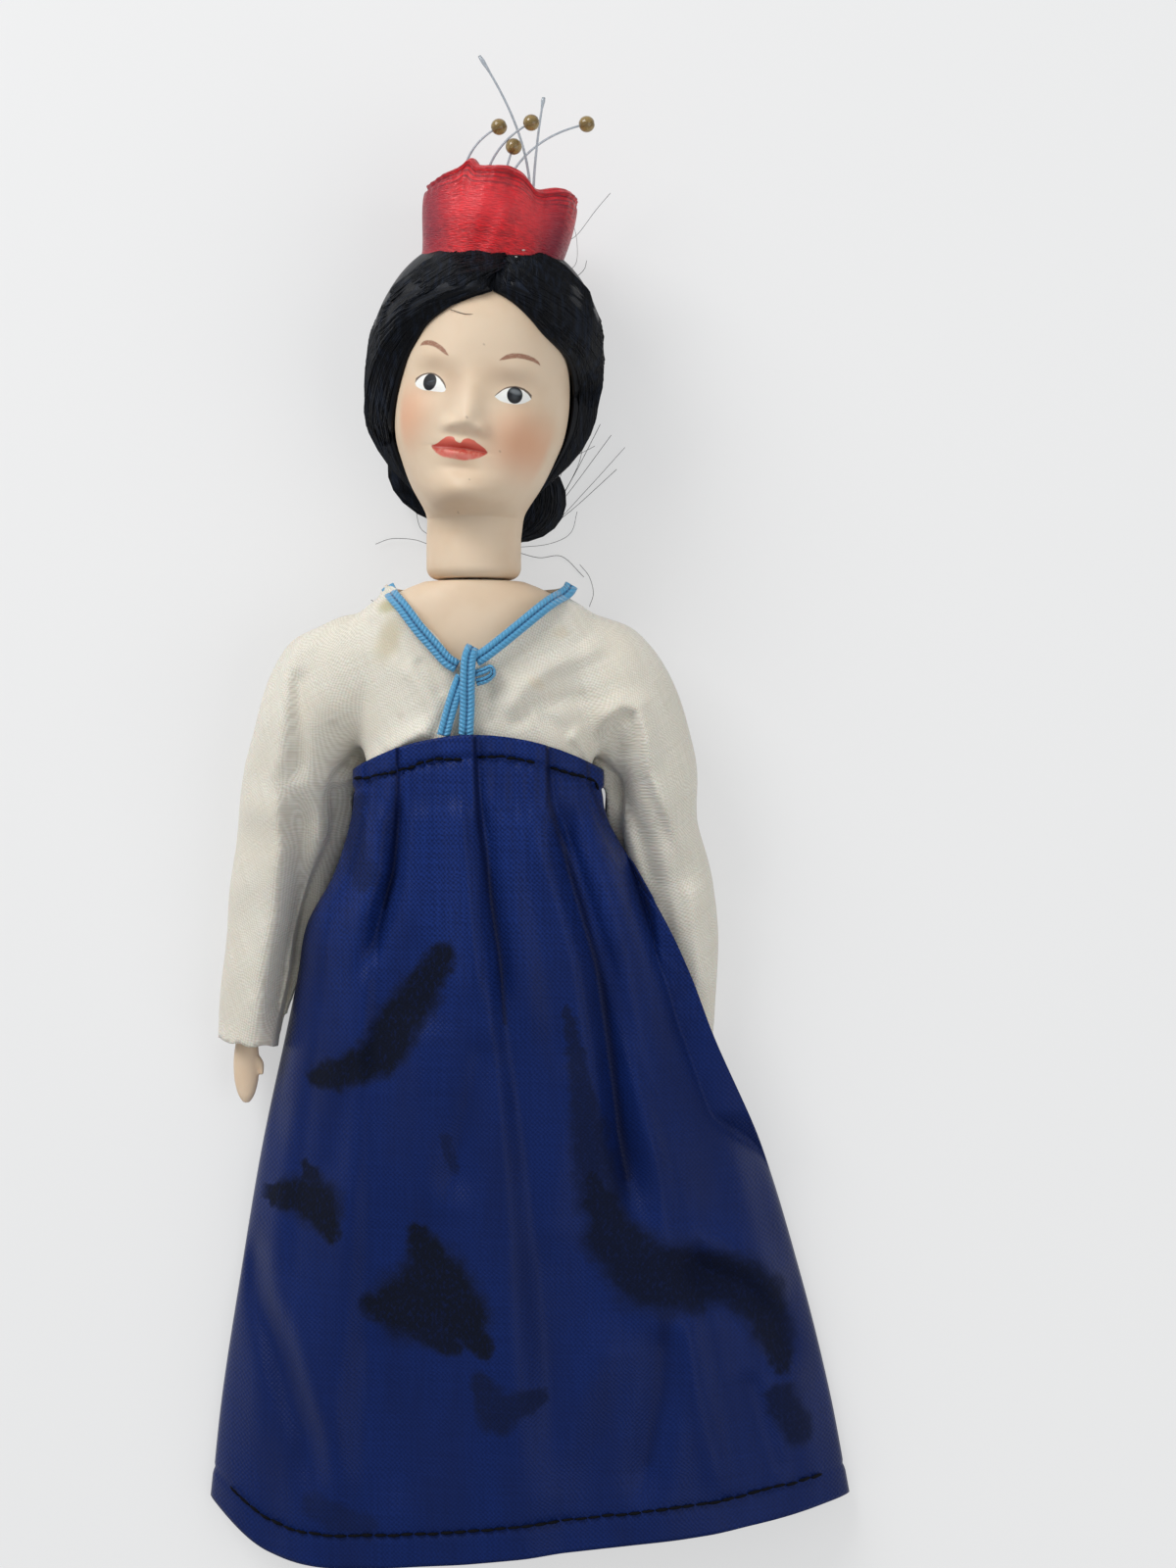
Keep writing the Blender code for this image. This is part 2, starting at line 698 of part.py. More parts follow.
def make_shoulder_plate(parent):
    """A bisque bust shell, open below, with a hole at its top for the neck elastic."""
    outer = plate_rings(0.0, (1.0, 0.75, 0.5, 0.3, 0.15, 0.05, 0.0))
    inner = plate_rings(PLATE_WALL, (0.04, 0.2, 0.45, 1.0))
    hole = PLATE_HOLE_RADIUS
    outer.append(oval(0, 0, NECK_AXIS_Z, hole, hole, hole, PLATE_COLUMNS))
    inner.insert(0, oval(0, -PLATE_WALL, NECK_AXIS_Z, hole, hole, hole, PLATE_COLUMNS))
    add_object("shoulder_plate", *skin(outer + inner, closed=True), "bisque", parent)


def make_body(parent):
    """The stuffed cloth trunk, from inside the shoulder plate to the hips."""
    keys = (
        (0.00, 0.55, 0.50), (0.05, 0.78, 0.60), (0.22, 0.90, 0.62), (0.34, 0.92, 0.92),
        (0.65, 1.00, 1.00), (0.90, 1.02, 1.00), (1.00, 0.80, 0.75),
    )
    rings = []
    for k in range(10):
        t = k / 9
        wide, deep = curve(keys, t)
        y = BODY_TOP_Y - BODY_LENGTH * t
        depth = BODY_HALF_DEPTH * deep
        rings.append(oval(body_x(y), y, BODY_Z, BODY_HALF_WIDTH * wide, depth, depth, 18))
    add_object("cloth_body", *skin(rings), "muslin", parent)


def body_x(y):
    """The trunk and legs swing a little to the viewer's right, as the skirt does."""
    return SKIRT_TOP_X + SKIRT_SWING * 0.9 * max(SKIRT_TOP_Y - y, 0.0) / SKIRT_LENGTH


# Sleeves: share of length, x, y and z of the middle, half width and half height, in millimetres
SLEEVE_LEFT = (
    (0.00, -12.0, -10.0, 13.2, 7.0, 6.2),
    (0.20, -20.4, -15.2, 12.0, 8.8, 8.0),
    (0.38, -26.0, -25.2, 10.4, 6.6, 7.4),
    (0.54, -27.6, -34.5, 8.6, 6.6, 6.4),
    (0.70, -30.4, -45.0, 6.9, 5.3, 5.6),
    (0.86, -32.0, -55.0, 5.8, 4.8, 4.9),
    (1.00, -33.4, -66.4, 5.1, 4.3, 4.3),
)
SLEEVE_RIGHT = (
    (0.00, 11.0, -9.5, 13.2, 7.0, 6.2),
    (0.20, 19.2, -15.2, 12.0, 8.8, 8.0),
    (0.38, 26.2, -25.6, 10.4, 5.7, 7.4),
    (0.54, 26.8, -35.0, 8.2, 5.6, 6.0),
    (0.70, 29.4, -45.0, 6.4, 5.2, 5.0),
    (0.86, 30.3, -55.0, 5.2, 4.8, 4.3),
    (1.00, 30.4, -66.0, 4.6, 4.2, 3.9),
)


def in_metres(keys):
    return tuple((row[0], *(v * 0.001 for v in row[1:])) for row in keys)


def arm_keys(sleeve, start, end, radii, tip=0.0):
    """A limb on the middle of a sleeve: radii are (t, half width, half height) rows."""
    keys = []
    for t, half_width, half_height in radii:
        along = start + (end - start) * t
        x, y, z, _, _ = curve(sleeve, min(along, 1.0))
        y -= max(along - 1.0, 0.0) * (sleeve[0][2] - sleeve[-1][2])
        keys.append((t, x, y, z + tip * t, half_width, half_height))
    return tuple(keys)


ARM_START = 0.60
ARM_END = 1.15
FOREARM_RADII = (
    (0.0, 1.0, 1.0), (0.25, 1.0, 1.0), (0.55, 0.80, 0.80), (0.70, 0.62, 0.62), (0.80, 0.72, 0.55),
    (0.90, 0.66, 0.45), (0.97, 0.42, 0.36), (1.0, 0.16, 0.20),
)


def forearm_rings(sleeve, grow=0.0):
    radii = tuple((t, ARM_RADIUS * w, ARM_RADIUS * h) for t, w, h in FOREARM_RADII)
    return limb_rings(arm_keys(sleeve, ARM_START, ARM_END, radii), LIMB_COLUMNS, 12, grow)


# Thumb: share of its length, then its place out, down and up from the wrist and its radius, in millimetres
WRIST_SHARE = 0.76
THUMB = (
    (0.0, 0.0, 0.0, 0.0, 0.7),
    (0.6, 1.9, 1.6, 0.4, 0.6),
    (1.0, 2.3, 3.4, 0.6, 0.3),
)


def make_arm(side, sleeve, parent):
    """A bisque forearm with a mitten hand, and the stuffed cloth upper arm that grips its end."""
    arm = add_object(f"arm_{side}", *skin(forearm_rings(sleeve)), "bisque", parent)
    middle = arm_keys(sleeve, ARM_START, ARM_END, tuple((row[0], 0.0, 0.0) for row in FOREARM_RADII))
    wrist = Vector(curve(middle, WRIST_SHARE)[:3])
    turn = -1 if side == "right" else 1
    thumb = []
    for t, out, down, up, radius in in_metres(THUMB):
        thumb.append((t, wrist.x + turn * out, wrist.y - down, wrist.z + up, radius, radius))
    combine(arm, cutter(f"thumb_{side}", limb_rings(thumb, 8, 5), parent), "UNION")
    upper = tuple((t, UPPER_ARM_RADIUS * r, UPPER_ARM_RADIUS * r) for t, r in
                  ((0.0, 0.55), (0.12, 0.95), (0.5, 1.0), (0.85, 0.95), (1.0, 0.90)))
    cloth = add_object(
        f"upper_arm_{side}",
        *skin(limb_rings(arm_keys(sleeve, 0.22, ARM_START + 0.06, upper), LIMB_COLUMNS, 7)),
        "muslin", parent,
    )
    combine(cloth, cutter(f"arm_socket_{side}", forearm_rings(sleeve, GAP), parent), "DIFFERENCE")


def leg_rings(x_foot, x_hip, grow=0.0):
    """A shin with its ankle: the foot is another body, joined to it."""
    top = -0.0800
    bottom = SOLE_Y + 0.0030
    rings = []
    for t, radius in ((0.0, 1.0), (0.12, 1.0), (0.35, 1.05), (0.6, 0.85), (0.85, 0.62), (1.0, 0.66)):
        y = top + (bottom - top) * t
        x = x_hip + (x_foot - x_hip) * t
        r = LEG_RADIUS * radius + grow
        rings.append(oval(x, y + (grow if t == 0 else 0), LEG_Z, r, r, r, LIMB_COLUMNS))
    return rings


LEG_Z = 0.0066
FOOT_HALF_WIDTH = 0.0030
LEG_SPREAD = 0.0085


def foot_rings(x):
    """A moulded shoe: flat sole across y, toes pointing up from the floor."""
    rings = []
    heel = LEG_Z - 0.0040
    for t, half_width, lift in ((0.0, 1.0, 0.0), (0.25, 1.05, 0.0), (0.6, 0.98, 0.0), (1.0, 0.75, 0.0)):
        y = SOLE_Y + 0.0048 * t
        reach = FOOT_LENGTH * (1.0 - 0.45 * t**1.5)
        middle = heel + reach / 2
        rings.append(oval(x, y, middle, FOOT_HALF_WIDTH * half_width, reach / 2, reach / 2, 16, power=2.4))
    return rings


def make_leg(side, parent):
    """A bisque shin with a moulded shoe, and the stuffed cloth thigh that grips its end."""
    turn = -1 if side == "left" else 1
    x_foot = body_x(SOLE_Y) + turn * LEG_SPREAD
    x_hip = body_x(-0.0800) + turn * LEG_SPREAD * 0.92
    leg = add_object(f"leg_{side}", *skin(leg_rings(x_foot, x_hip)), "bisque", parent)
    combine(leg, cutter(f"shoe_{side}", foot_rings(x_foot), parent), "UNION")
    hip_y = BODY_TOP_Y - BODY_LENGTH - GAP
    rings = []
    for t, radius in ((0.0, 0.75), (0.15, 0.98), (0.5, 1.0), (0.85, 0.98), (1.0, 0.92)):
        y = hip_y + (-0.0860 - hip_y) * t
        r = THIGH_RADIUS * radius
        rings.append(oval(body_x(y) + turn * LEG_SPREAD * 0.92, y, BODY_Z - 0.0045 * t, r, r, r, LIMB_COLUMNS))
    thigh = add_object(f"thigh_{side}", *skin(rings), "muslin", parent)
    combine(thigh, cutter(f"leg_socket_{side}", leg_rings(x_foot, x_hip, GAP), parent), "DIFFERENCE")


# Blouse form: share of its length from the neck, then shares of half width, front and back depth
BLOUSE_FORM = (
    (0.00, 0.70, 0.95, 0.88),
    (0.08, 0.93, 1.00, 0.93),
    (0.20, 1.12, 1.02, 0.96),
    (0.36, 1.18, 1.02, 0.98),
    (0.60, 1.10, 1.02, 1.00),
    (0.85, 0.97, 1.00, 1.00),
    (1.00, 0.95, 0.98, 1.00),
)


def blouse_rings(inset, above=0.0, below=0.0):
    rings = []
    for t in (0.0, 0.08, 0.2, 0.36, 0.6, 0.85, 1.0):
        wide, front, back = curve(BLOUSE_FORM, t)
        y = -0.0012 - (BLOUSE_LENGTH - 0.0012) * t
        if t == 0.0:
            y += above
        if t == 1.0:
            y -= below
        rings.append(oval(
            SKIRT_TOP_X * t, y, NECK_AXIS_Z, BLOUSE_HALF_WIDTH * wide - inset,
            BLOUSE_FRONT * front - inset, BLOUSE_BACK * back - inset, BLOUSE_COLUMNS,
        ))
    return rings


def neckline_rings():
    """The V that opens the front of the blouse over the shoulder plate."""
    top = 0.0030
    outline = ((-0.0118, top), (-0.0104, 0.0), (-0.0008, -NECKLINE_DEPTH), (0.0122, 0.0), (0.0140, top))
    return [[Vector((x, y, z)) for x, y in outline] for z in (NECK_AXIS_Z + 0.002, NECK_AXIS_Z + 0.015)]


def make_blouse(parent):
    """One garment: trunk and sleeves joined, hollow throughout, open at neck, hem and cuffs."""
    blouse = add_object("blouse", *skin(blouse_rings(0.0)), "blouse", parent)
    sleeves = (("left", in_metres(SLEEVE_LEFT)), ("right", in_metres(SLEEVE_RIGHT)))
    for side, keys in sleeves:
        outer = cutter(f"sleeve_{side}", limb_rings(keys, SLEEVE_COLUMNS, SLEEVE_ROWS), parent)
        combine(blouse, outer, "UNION")
    inner = cutter("blouse_inside", blouse_rings(BLOUSE_WALL, 0.004, 0.004), parent)
    combine(blouse, inner, "DIFFERENCE")
    for side, keys in sleeves:
        rings = limb_rings(keys, SLEEVE_COLUMNS, SLEEVE_ROWS, -BLOUSE_WALL, -0.0015, 0.004)
        combine(blouse, cutter(f"sleeve_inside_{side}", rings, parent), "DIFFERENCE")
    combine(blouse, cutter("neckline", neckline_rings(), parent), "DIFFERENCE")


def chest_z(x, y):
    """Height of the front of the blouse, which the braid lies on."""
    t = min(max((-0.0012 - y) / (BLOUSE_LENGTH - 0.0012), 0.0), 1.0)
    wide, front, _ = curve(BLOUSE_FORM, t)
    u = min(abs(x - SKIRT_TOP_X * t) / (BLOUSE_HALF_WIDTH * wide), 0.98)
    return NECK_AXIS_Z + BLOUSE_FRONT * front * math.sqrt(1 - u * u)


def braid_rings(points, width=BRAID_WIDTH, lift=BRAID_LIFT):
    """A flat braid with two ridges, lying on the chest along points of (x, y)."""
    rings = []
    for k, (x, y) in enumerate(points):
        before, after = points[max(k - 1, 0)], points[min(k + 1, len(points) - 1)]
        along = Vector((after[0] - before[0], after[1] - before[1], 0)).normalized()
        across = Vector((along.y, -along.x, 0))
        ring = []
        section = ((-1, 0.25), (-1, 0.75), (-0.55, 1.0), (0, 0.72), (0.55, 1.0), (1, 0.75), (1, 0.25),
                   (0.5, 0.0), (-0.5, 0.0))
        for side, up in section:
            p = Vector((x, y, 0)) + across * side * width / 2
            ring.append(Vector((p.x, p.y, chest_z(p.x, p.y) + lift + BRAID_THICKNESS * up)))
        rings.append(ring)
    return rings


def on_line(a, b, steps):
    return [(a[0] + (b[0] - a[0]) * k / steps, a[1] + (b[1] - a[1]) * k / steps) for k in range(steps + 1)]


def make_braid(parent):
    """The braid collar down both sides of the neckline, its knot and its two tails."""
    left = on_line((-0.0117, -0.0016), (-0.0030, -0.0112), 7)
    right = on_line((0.0133, -0.0014), (0.0018, -0.0110), 7)
    add_object("braid_collar_left", *skin(braid_rings(left)), "braid", parent)
    add_object("braid_collar_right", *skin(braid_rings(right)), "braid", parent)
    knot_strand = on_line((-0.0005, -0.0108), (-0.0006, -0.0154), 4)
    knot = add_object("braid_knot", *skin(braid_rings(knot_strand, KNOT_WIDTH)), "braid", parent)
    loop = cutter("knot_loop", braid_rings(KNOT_LOOP), parent)
    combine(knot, loop, "UNION")
    tail = on_line((-0.0006, -0.0158), (-0.0009, -0.0206), 4)
    add_object("braid_tail_right", *skin(braid_rings(tail)), "braid", parent)
    second = on_line((-0.0030, -0.0158), (-0.0042, -0.0206), 4)
    add_object("braid_tail_left", *skin(braid_rings(second)), "braid", parent)


# Skirt outline: share of length, left edge, right edge and height of the front, in millimetres
SKIRT_FORM = (
    (0.00, -17.2, 18.3, 23.8),
    (0.06, -17.6, 18.8, 23.8),
    (0.14, -20.4, 23.4, 23.2),
    (0.21, -24.6, 27.6, 22.4),
    (0.28, -26.2, 31.0, 21.6),
    (0.36, -28.0, 34.2, 21.0),
    (0.52, -31.6, 41.6, 20.2),
    (0.70, -34.8, 47.4, 19.4),
    (0.86, -37.4, 51.6, 18.8),
    (1.00, -39.0, 54.4, 18.4),
)
FRONT_PLEATS = (-0.90, -0.62, -0.02, 0.545, 0.86)
SKIRT_ROWS = (0.0, 0.024, 0.032, 0.075, 0.14, 0.21, 0.28, 0.36, 0.44, 0.52, 0.60, 0.68, 0.76, 0.84, 0.92, 1.0)


# Soft folds down the front: height, width to the left and to the right, and the line, in millimetres
SKIRT_FOLDS = (
    (-1.2, 2.2, 1.4, ((-10.3, -27.5), (-11.2, -41.2), (-13.6, -49.0), (-16.0, -57.0))),
    (-1.0, 2.2, 1.6, ((0.9, -27.0), (1.4, -36.0), (2.6, -44.0), (4.0, -53.0), (4.6, -62.0))),
    (-2.6, 3.6, 2.2, ((10.9, -27.5), (12.6, -37.0), (17.4, -54.0), (20.6, -78.0), (22.8, -88.0), (26.2, -94.6))),
    (1.6, 2.6, 4.6, ((13.8, -33.0), (19.8, -51.0), (22.8, -64.0), (24.8, -76.0), (28.0, -88.0))),
    (-1.5, 3.4, 2.4, ((27.0, -95.4), (32.0, -97.8), (38.0, -100.4), (43.0, -106.0), (45.6, -114.0))),
    (-1.2, 3.2, 2.4, ((-34.0, -92.0), (-31.6, -102.0), (-27.8, -112.0), (-24.0, -122.0), (-22.4, -132.0))),
    (-1.0, 2.8, 2.4, ((27.0, -104.0), (26.6, -114.0), (24.6, -124.0), (24.0, -131.0))),
)
FOLD_RUN_OUT = 0.006


def fold_rise(x, y):
    """How far the soft folds lift the front of the skirt at x, y."""
    total = 0.0
    here = Vector((x, y, 0.0))
    for height, left_width, right_width, line in SKIRT_FOLDS:
        corners = [Vector((px * 0.001, py * 0.001, 0.0)) for px, py in line]
        nearest, offset = None, 0.0
        for a, b in zip(corners, corners[1:]):
            u = min(max((here - a).dot(b - a) / (b - a).length_squared, 0.0), 1.0)
            away = here - a.lerp(b, u)
            if nearest is None or away.length < nearest:
                nearest, offset = away.length, away.x
        width = (left_width if offset < 0 else right_width) * 0.001
        ends = min((here - corners[0]).length, (here - corners[-1]).length)
        total += height * 0.001 * math.exp(-((nearest / width) ** 2)) * fade(0.0, FOLD_RUN_OUT, ends)
    return total


def hem_drop(s):
    """How far the hem hangs below its shortest place, across the skirt from s = -1 to 1."""
    keys = ((-1.0, 0.0005), (-0.8, 0.0062), (-0.5, 0.0072), (0.06, 0.0046), (0.5, 0.0026), (1.0, 0.0))
    return curve(keys, s)[0]


def arm_under(x, y):
    """Height of the right sleeve where the skirt lies over it, or 0."""
    keys = in_metres(SLEEVE_RIGHT)
    along = min(range(41), key=lambda k: abs(curve(keys, k / 40)[1] - y)) / 40
    cx, cy, cz, half_width, half_height = curve(keys, along)
    past = fade(0.0, 0.010, keys[-1][2] - 0.009 - y)
    top = cz + half_height + 2 * LOOSE_FIT
    return top * fade(cx - half_width - 0.0028, cx - half_width * 0.75, x) * (1 - past) * fade(-0.030, -0.036, y)


def skirt_edges(v):
    """Left edge, right edge and height of the front, which flares to the width of the hem."""
    left, right, height = (value * 0.001 for value in curve(SKIRT_FORM, v))
    drawn_width = (SKIRT_FORM[-1][2] - SKIRT_FORM[-1][1]) * 0.001
    flare = 1 + (SKIRT_HEM_WIDTH / drawn_width - 1) * fade(0.2, 1.0, v)
    return left * flare, right * flare, height


def skirt_front(s, v):
    """A point on the outside of the front: s across from -1 to 1, v down from 0 to 1."""
    left, right, height = skirt_edges(v)
    middle, half = (left + right) / 2, (right - left) / 2
    x = middle + half * s
    y = skirt_y(s, v)
    power = 2.0 + 0.4 * v
    body = (1 - min(abs(s), 1.0) ** power) ** (0.5 + 0.25 * v)
    edge = NECK_AXIS_Z * 0.75 * (1 - fade(0.0, 0.35, v)) + 0.0012
    z = edge + (height - edge) * body
    for k, at in enumerate(FRONT_PLEATS):
        d = (s - at) * half
        wide = PLEAT_WIDTH * (1 + 2.2 * v)
        ridge = fade(-wide, 0.0, d) if d <= 0 else 1 - fade(0.0, 0.0006 + 0.006 * v, d)
        z += PLEAT_DEPTH * (1.0 + 1.2 * fade(0.1, 0.5, v)) * (1 - 0.5 * fade(0.7, 1.0, v)) * ridge * body
    below_blouse = fade(-BLOUSE_LENGTH, -BLOUSE_LENGTH - FOLD_RUN_OUT, y)
    z += fold_rise(x, y) * below_blouse * fade(0.0, 0.25, body)
    return Vector((x, y, z))


def skirt_back(s, v):
    left, right, _ = skirt_edges(v)
    x = (left + right) / 2 + (right - left) / 2 * s
    rise = SKIRT_TOP_BACK * (1 - fade(0.0, 0.12, v))
    round_off = 0.0070 * abs(s) ** 4 * (1 - fade(0.1, 0.35, v))
    return Vector((x, skirt_y(s, v), rise + round_off))


def skirt_y(s, v):
    top = SKIRT_TOP_Y - SKIRT_SIDE_DROP * s * s
    bottom = SKIRT_TOP_Y - SKIRT_LENGTH + 0.0060 - hem_drop(s)
    return top + (bottom - top) * v


def skirt_columns():
    fine = {round(-math.cos(math.pi * k / SKIRT_FRONT_COLUMNS), 4) for k in range(1, SKIRT_FRONT_COLUMNS)}
    for at in FRONT_PLEATS:
        fine = {s for s in fine if abs(s - at) > 0.035} | {at, at + 0.03}
    return sorted(fine)


def skirt_ring(v):
    ring = []
    for s in skirt_columns():
        p = skirt_front(s, v)
        lift = arm_under(p.x, p.y)
        if lift > 0:
            p.z = max(p.z, lift + 0.0018)
        ring.append(p)
    for k in range(SKIRT_BACK_COLUMNS + 1):
        s = math.cos(math.pi * k / SKIRT_BACK_COLUMNS)
        p = skirt_back(s, v)
        p.z = max(p.z, arm_under(p.x, p.y))
        ring.append(p)
    return ring


def offset_ring(ring, inset):
    """The ring moved in by inset across its own run, in the x, z plane."""
    count = len(ring)
    out = []
    for i, p in enumerate(ring):
        before, after = ring[i - 1], ring[(i + 1) % count]
        one = Vector((p.x - before.x, p.z - before.z))
        two = Vector((after.x - p.x, after.z - p.z))
        n1 = Vector((one.y, -one.x)).normalized()
        n2 = Vector((two.y, -two.x)).normalized()
        n = (n1 + n2).normalized()
        reach = inset / max(n.dot(n1), 0.5)
        out.append(Vector((p.x + n.x * reach, p.y, p.z + n.y * reach)))
    return out


def make_skirt(parent):
    """A pleated tube of taffeta, open at waist and hem, lying over the right sleeve."""
    outer = [skirt_ring(v) for v in SKIRT_ROWS]
    inner = [offset_ring(ring, SKIRT_WALL) for ring in reversed(outer)]
    add_object("skirt", *skin(outer + inner, closed=True), "taffeta", parent)


def centre_on_origin(frame):
    """Moves the doll so that the box around it is centred in x and y and stands on z = 0."""
    bpy.context.view_layer.update()
    low, high = Vector((1e9,) * 3), Vector((-1e9,) * 3)
    graph = bpy.context.evaluated_depsgraph_get()
    for piece in bpy.context.scene.objects:
        if piece.type != "MESH" or piece.hide_render:
            continue
        shape = piece.evaluated_get(graph)
        for corner in shape.data.vertices:
            p = shape.matrix_world @ corner.co
            low = Vector(map(min, low, p))
            high = Vector(map(max, high, p))
    frame.location = (-(low.x + high.x) / 2, -(low.y + high.y) / 2, -low.z)


def add_empty(name, location, parent=None):
    made = bpy.data.objects.new(name, None)
    made.empty_display_size = 0.01
    made.location = location
    made.parent = parent
    bpy.context.scene.collection.objects.link(made)
    return made


def main():
    clear_scene()
    doll = add_empty("doll", (0, 0, 0))
    pivot = add_empty("head_pivot", (0, 0, NECK_AXIS_Z), doll)
    head = add_empty("head_pieces", (0, 0, -NECK_AXIS_Z), pivot)
    make_head(head)
    make_neck_stringing(head, doll)
    make_hair(head)
    make_bun(head)
    make_hat(head)
    make_sprig(head)
    make_shoulder_plate(doll)
    make_body(doll)
    for side, keys in (("left", in_metres(SLEEVE_LEFT)), ("right", in_metres(SLEEVE_RIGHT))):
        make_arm(side, keys, doll)
        make_leg(side, doll)
    make_blouse(doll)
    make_braid(doll)
    make_skirt(doll)
    centre_on_origin(doll)


main()
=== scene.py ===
"""Looks of the porcelain doll: bisque, hair, satin, ivory cloth, braid and navy skirt on the frame."""

import json
import math
import random

import bmesh
import bpy
import numpy as np
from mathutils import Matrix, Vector, noise


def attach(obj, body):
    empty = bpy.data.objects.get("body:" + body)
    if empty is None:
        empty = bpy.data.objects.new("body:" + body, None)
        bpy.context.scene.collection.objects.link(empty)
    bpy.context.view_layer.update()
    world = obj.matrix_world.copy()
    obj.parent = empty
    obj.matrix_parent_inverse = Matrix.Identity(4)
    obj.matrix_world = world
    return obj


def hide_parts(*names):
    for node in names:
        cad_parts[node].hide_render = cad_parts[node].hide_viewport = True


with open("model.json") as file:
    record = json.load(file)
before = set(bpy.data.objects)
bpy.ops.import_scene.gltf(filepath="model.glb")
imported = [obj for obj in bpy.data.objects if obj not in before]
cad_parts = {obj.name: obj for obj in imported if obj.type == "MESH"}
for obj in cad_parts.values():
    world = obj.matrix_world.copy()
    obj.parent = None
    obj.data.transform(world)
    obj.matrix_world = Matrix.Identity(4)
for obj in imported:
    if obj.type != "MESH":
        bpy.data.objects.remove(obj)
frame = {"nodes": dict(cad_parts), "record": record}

bl_info = {
    "name": "Porcelain doll",
    "version": (1, 0, 0),
    "blender": (4, 5, 0),
    "location": "3D View > Sidebar > Doll",
    "description": "Dresses the frame of a small porcelain doll",
    "category": "Object",
}

NECK_JOINT = frame["record"]["behaviour"]["joints"][0]["pos_m"]

# The doll's own frame in millimetres: x and y from the foot of the neck, z up from the floor
SHIFT = np.array((NECK_JOINT[0], NECK_JOINT[1], 0.0))
MM = 0.001
AXIS_Z = 14.5

# Head and face
NECK_RADIUS = 6.7
NECK_LENGTH = 8.7
NECK_PARTING = 0.4
HEAD_HEIGHT = 37.5
HEAD_HALF_WIDTH = 12.3
HEAD_FRONT = 14.7
HEAD_BACK = 12.5
CROWN_SHIFT = 2.2
EYE_LINE = (0.25, 25.5)
FACE_LEAN = math.radians(9.0)

# Share of the head's height, then of its half width, front and back
HEAD_FORM = (
    (0.000, 0.553, 0.50, 0.56), (0.024, 0.570, 0.70, 0.58), (0.048, 0.605, 0.86, 0.60),
    (0.078, 0.660, 0.935, 0.64), (0.115, 0.730, 0.955, 0.69), (0.160, 0.800, 0.945, 0.75),
    (0.220, 0.875, 0.945, 0.82), (0.300, 0.960, 0.955, 0.91), (0.400, 1.000, 0.955, 0.97),
    (0.530, 0.990, 0.965, 1.00), (0.640, 0.980, 0.980, 0.99), (0.750, 0.925, 0.940, 0.93),
    (0.840, 0.800, 0.820, 0.80), (0.920, 0.600, 0.620, 0.60), (0.975, 0.340, 0.350, 0.34),
    (1.000, 0.050, 0.050, 0.05),
)
# Share of the head's height, then thickness of the hair at the side, front and back
HAIR_FORM = (
    (0.05, -0.40, -1.30, 0.75), (0.14, 0.10, -1.05, 0.90), (0.24, 0.60, -0.80, 1.00),
    (0.36, 0.90, -0.52, 1.00), (0.48, 1.02, -0.30, 1.00), (0.60, 1.08, -0.12, 1.00),
    (0.70, 1.08, 0.05, 1.00), (0.80, 1.05, 0.11, 1.00), (0.90, 0.95, 0.14, 1.10), (1.00, 0.80, 0.20, 1.20),
)
# Edges of the hair beside the face: share of head height, left and right as shares of its half width
HAIRLINE = (
    (0.05, -0.86, 0.90), (0.20, -0.965, 1.00), (0.30, -0.985, 1.02), (0.47, -0.92, 1.00),
    (0.585, -0.81, 0.90), (0.66, -0.68, 0.63), (0.70, -0.60, 0.52), (0.74, -0.44, 0.40),
    (0.775, -0.25, 0.27), (0.80, 0.02, 0.14), (0.81, 0.08, 0.08), (1.0, 0.08, 0.08),
)

# Bun
BUN_HALF_WIDTH = 13.3
BUN_HALF_HEIGHT = 7.2
BUN_THICK = 7.8
BUN_Y = 15.0
BUN_LEAN = math.radians(17.0)


def table(keys, t):
    """The values at each t on the smooth curve through keys, rows of (t, value, value, ...)."""
    rows = np.array(keys, float)
    at = rows[:, 0]
    last = len(rows) - 1
    slope = np.array([
        (rows[min(k + 1, last), 1:] - rows[max(k - 1, 0), 1:]) / (at[min(k + 1, last)] - at[max(k - 1, 0)])
        for k in range(last + 1)
    ])
    t = np.clip(np.asarray(t, float), at[0], at[-1])
    k = np.clip(np.searchsorted(at, t, side="right") - 1, 0, last - 1)
    step = (at[k + 1] - at[k])[..., None]
    u = ((t - at[k]) / (at[k + 1] - at[k]))[..., None]
    out = (
        rows[k, 1:] * (2 * u**3 - 3 * u**2 + 1) + slope[k] * step * (u**3 - 2 * u**2 + u)
        + rows[k + 1, 1:] * (3 * u**2 - 2 * u**3) + slope[k + 1] * step * (u**3 - u**2)
    )
    return [out[..., c] for c in range(out.shape[-1])]


def evenly(keys):
    """Rows for table from keys at even steps from 0 to 1."""
    return [(k / (len(keys) - 1), *key) for k, key in enumerate(keys)]


def fade(low, high, value):
    """0 below low, 1 above high and smooth between."""
    u = np.clip((value - low) / (high - low), 0.0, 1.0)
    return u * u * (3 - 2 * u)


def signed_power(value, power):
    """A power of the value that keeps its sign."""
    return np.sign(value) * np.abs(value) ** power


def to_world(points):
    """From the doll's millimetres to the scene's metres."""
    return np.asarray(points, float) * MM + SHIFT


def leaned(x, y, lean):
    """x and y turned clockwise by an angle."""
    c, s = math.cos(lean), math.sin(lean)
    return x * c + y * s, y * c - x * s


def grid_quads(rows, columns, closed=True):
    """Faces of a grid of points, closed round each row if asked."""
    r = np.arange(rows - 1)[:, None]
    c = np.arange(columns if closed else columns - 1)[None, :]
    n = (c + 1) % columns
    return np.stack([r * columns + c, r * columns + n, (r + 1) * columns + n, (r + 1) * columns + c], -1).reshape(-1, 4)


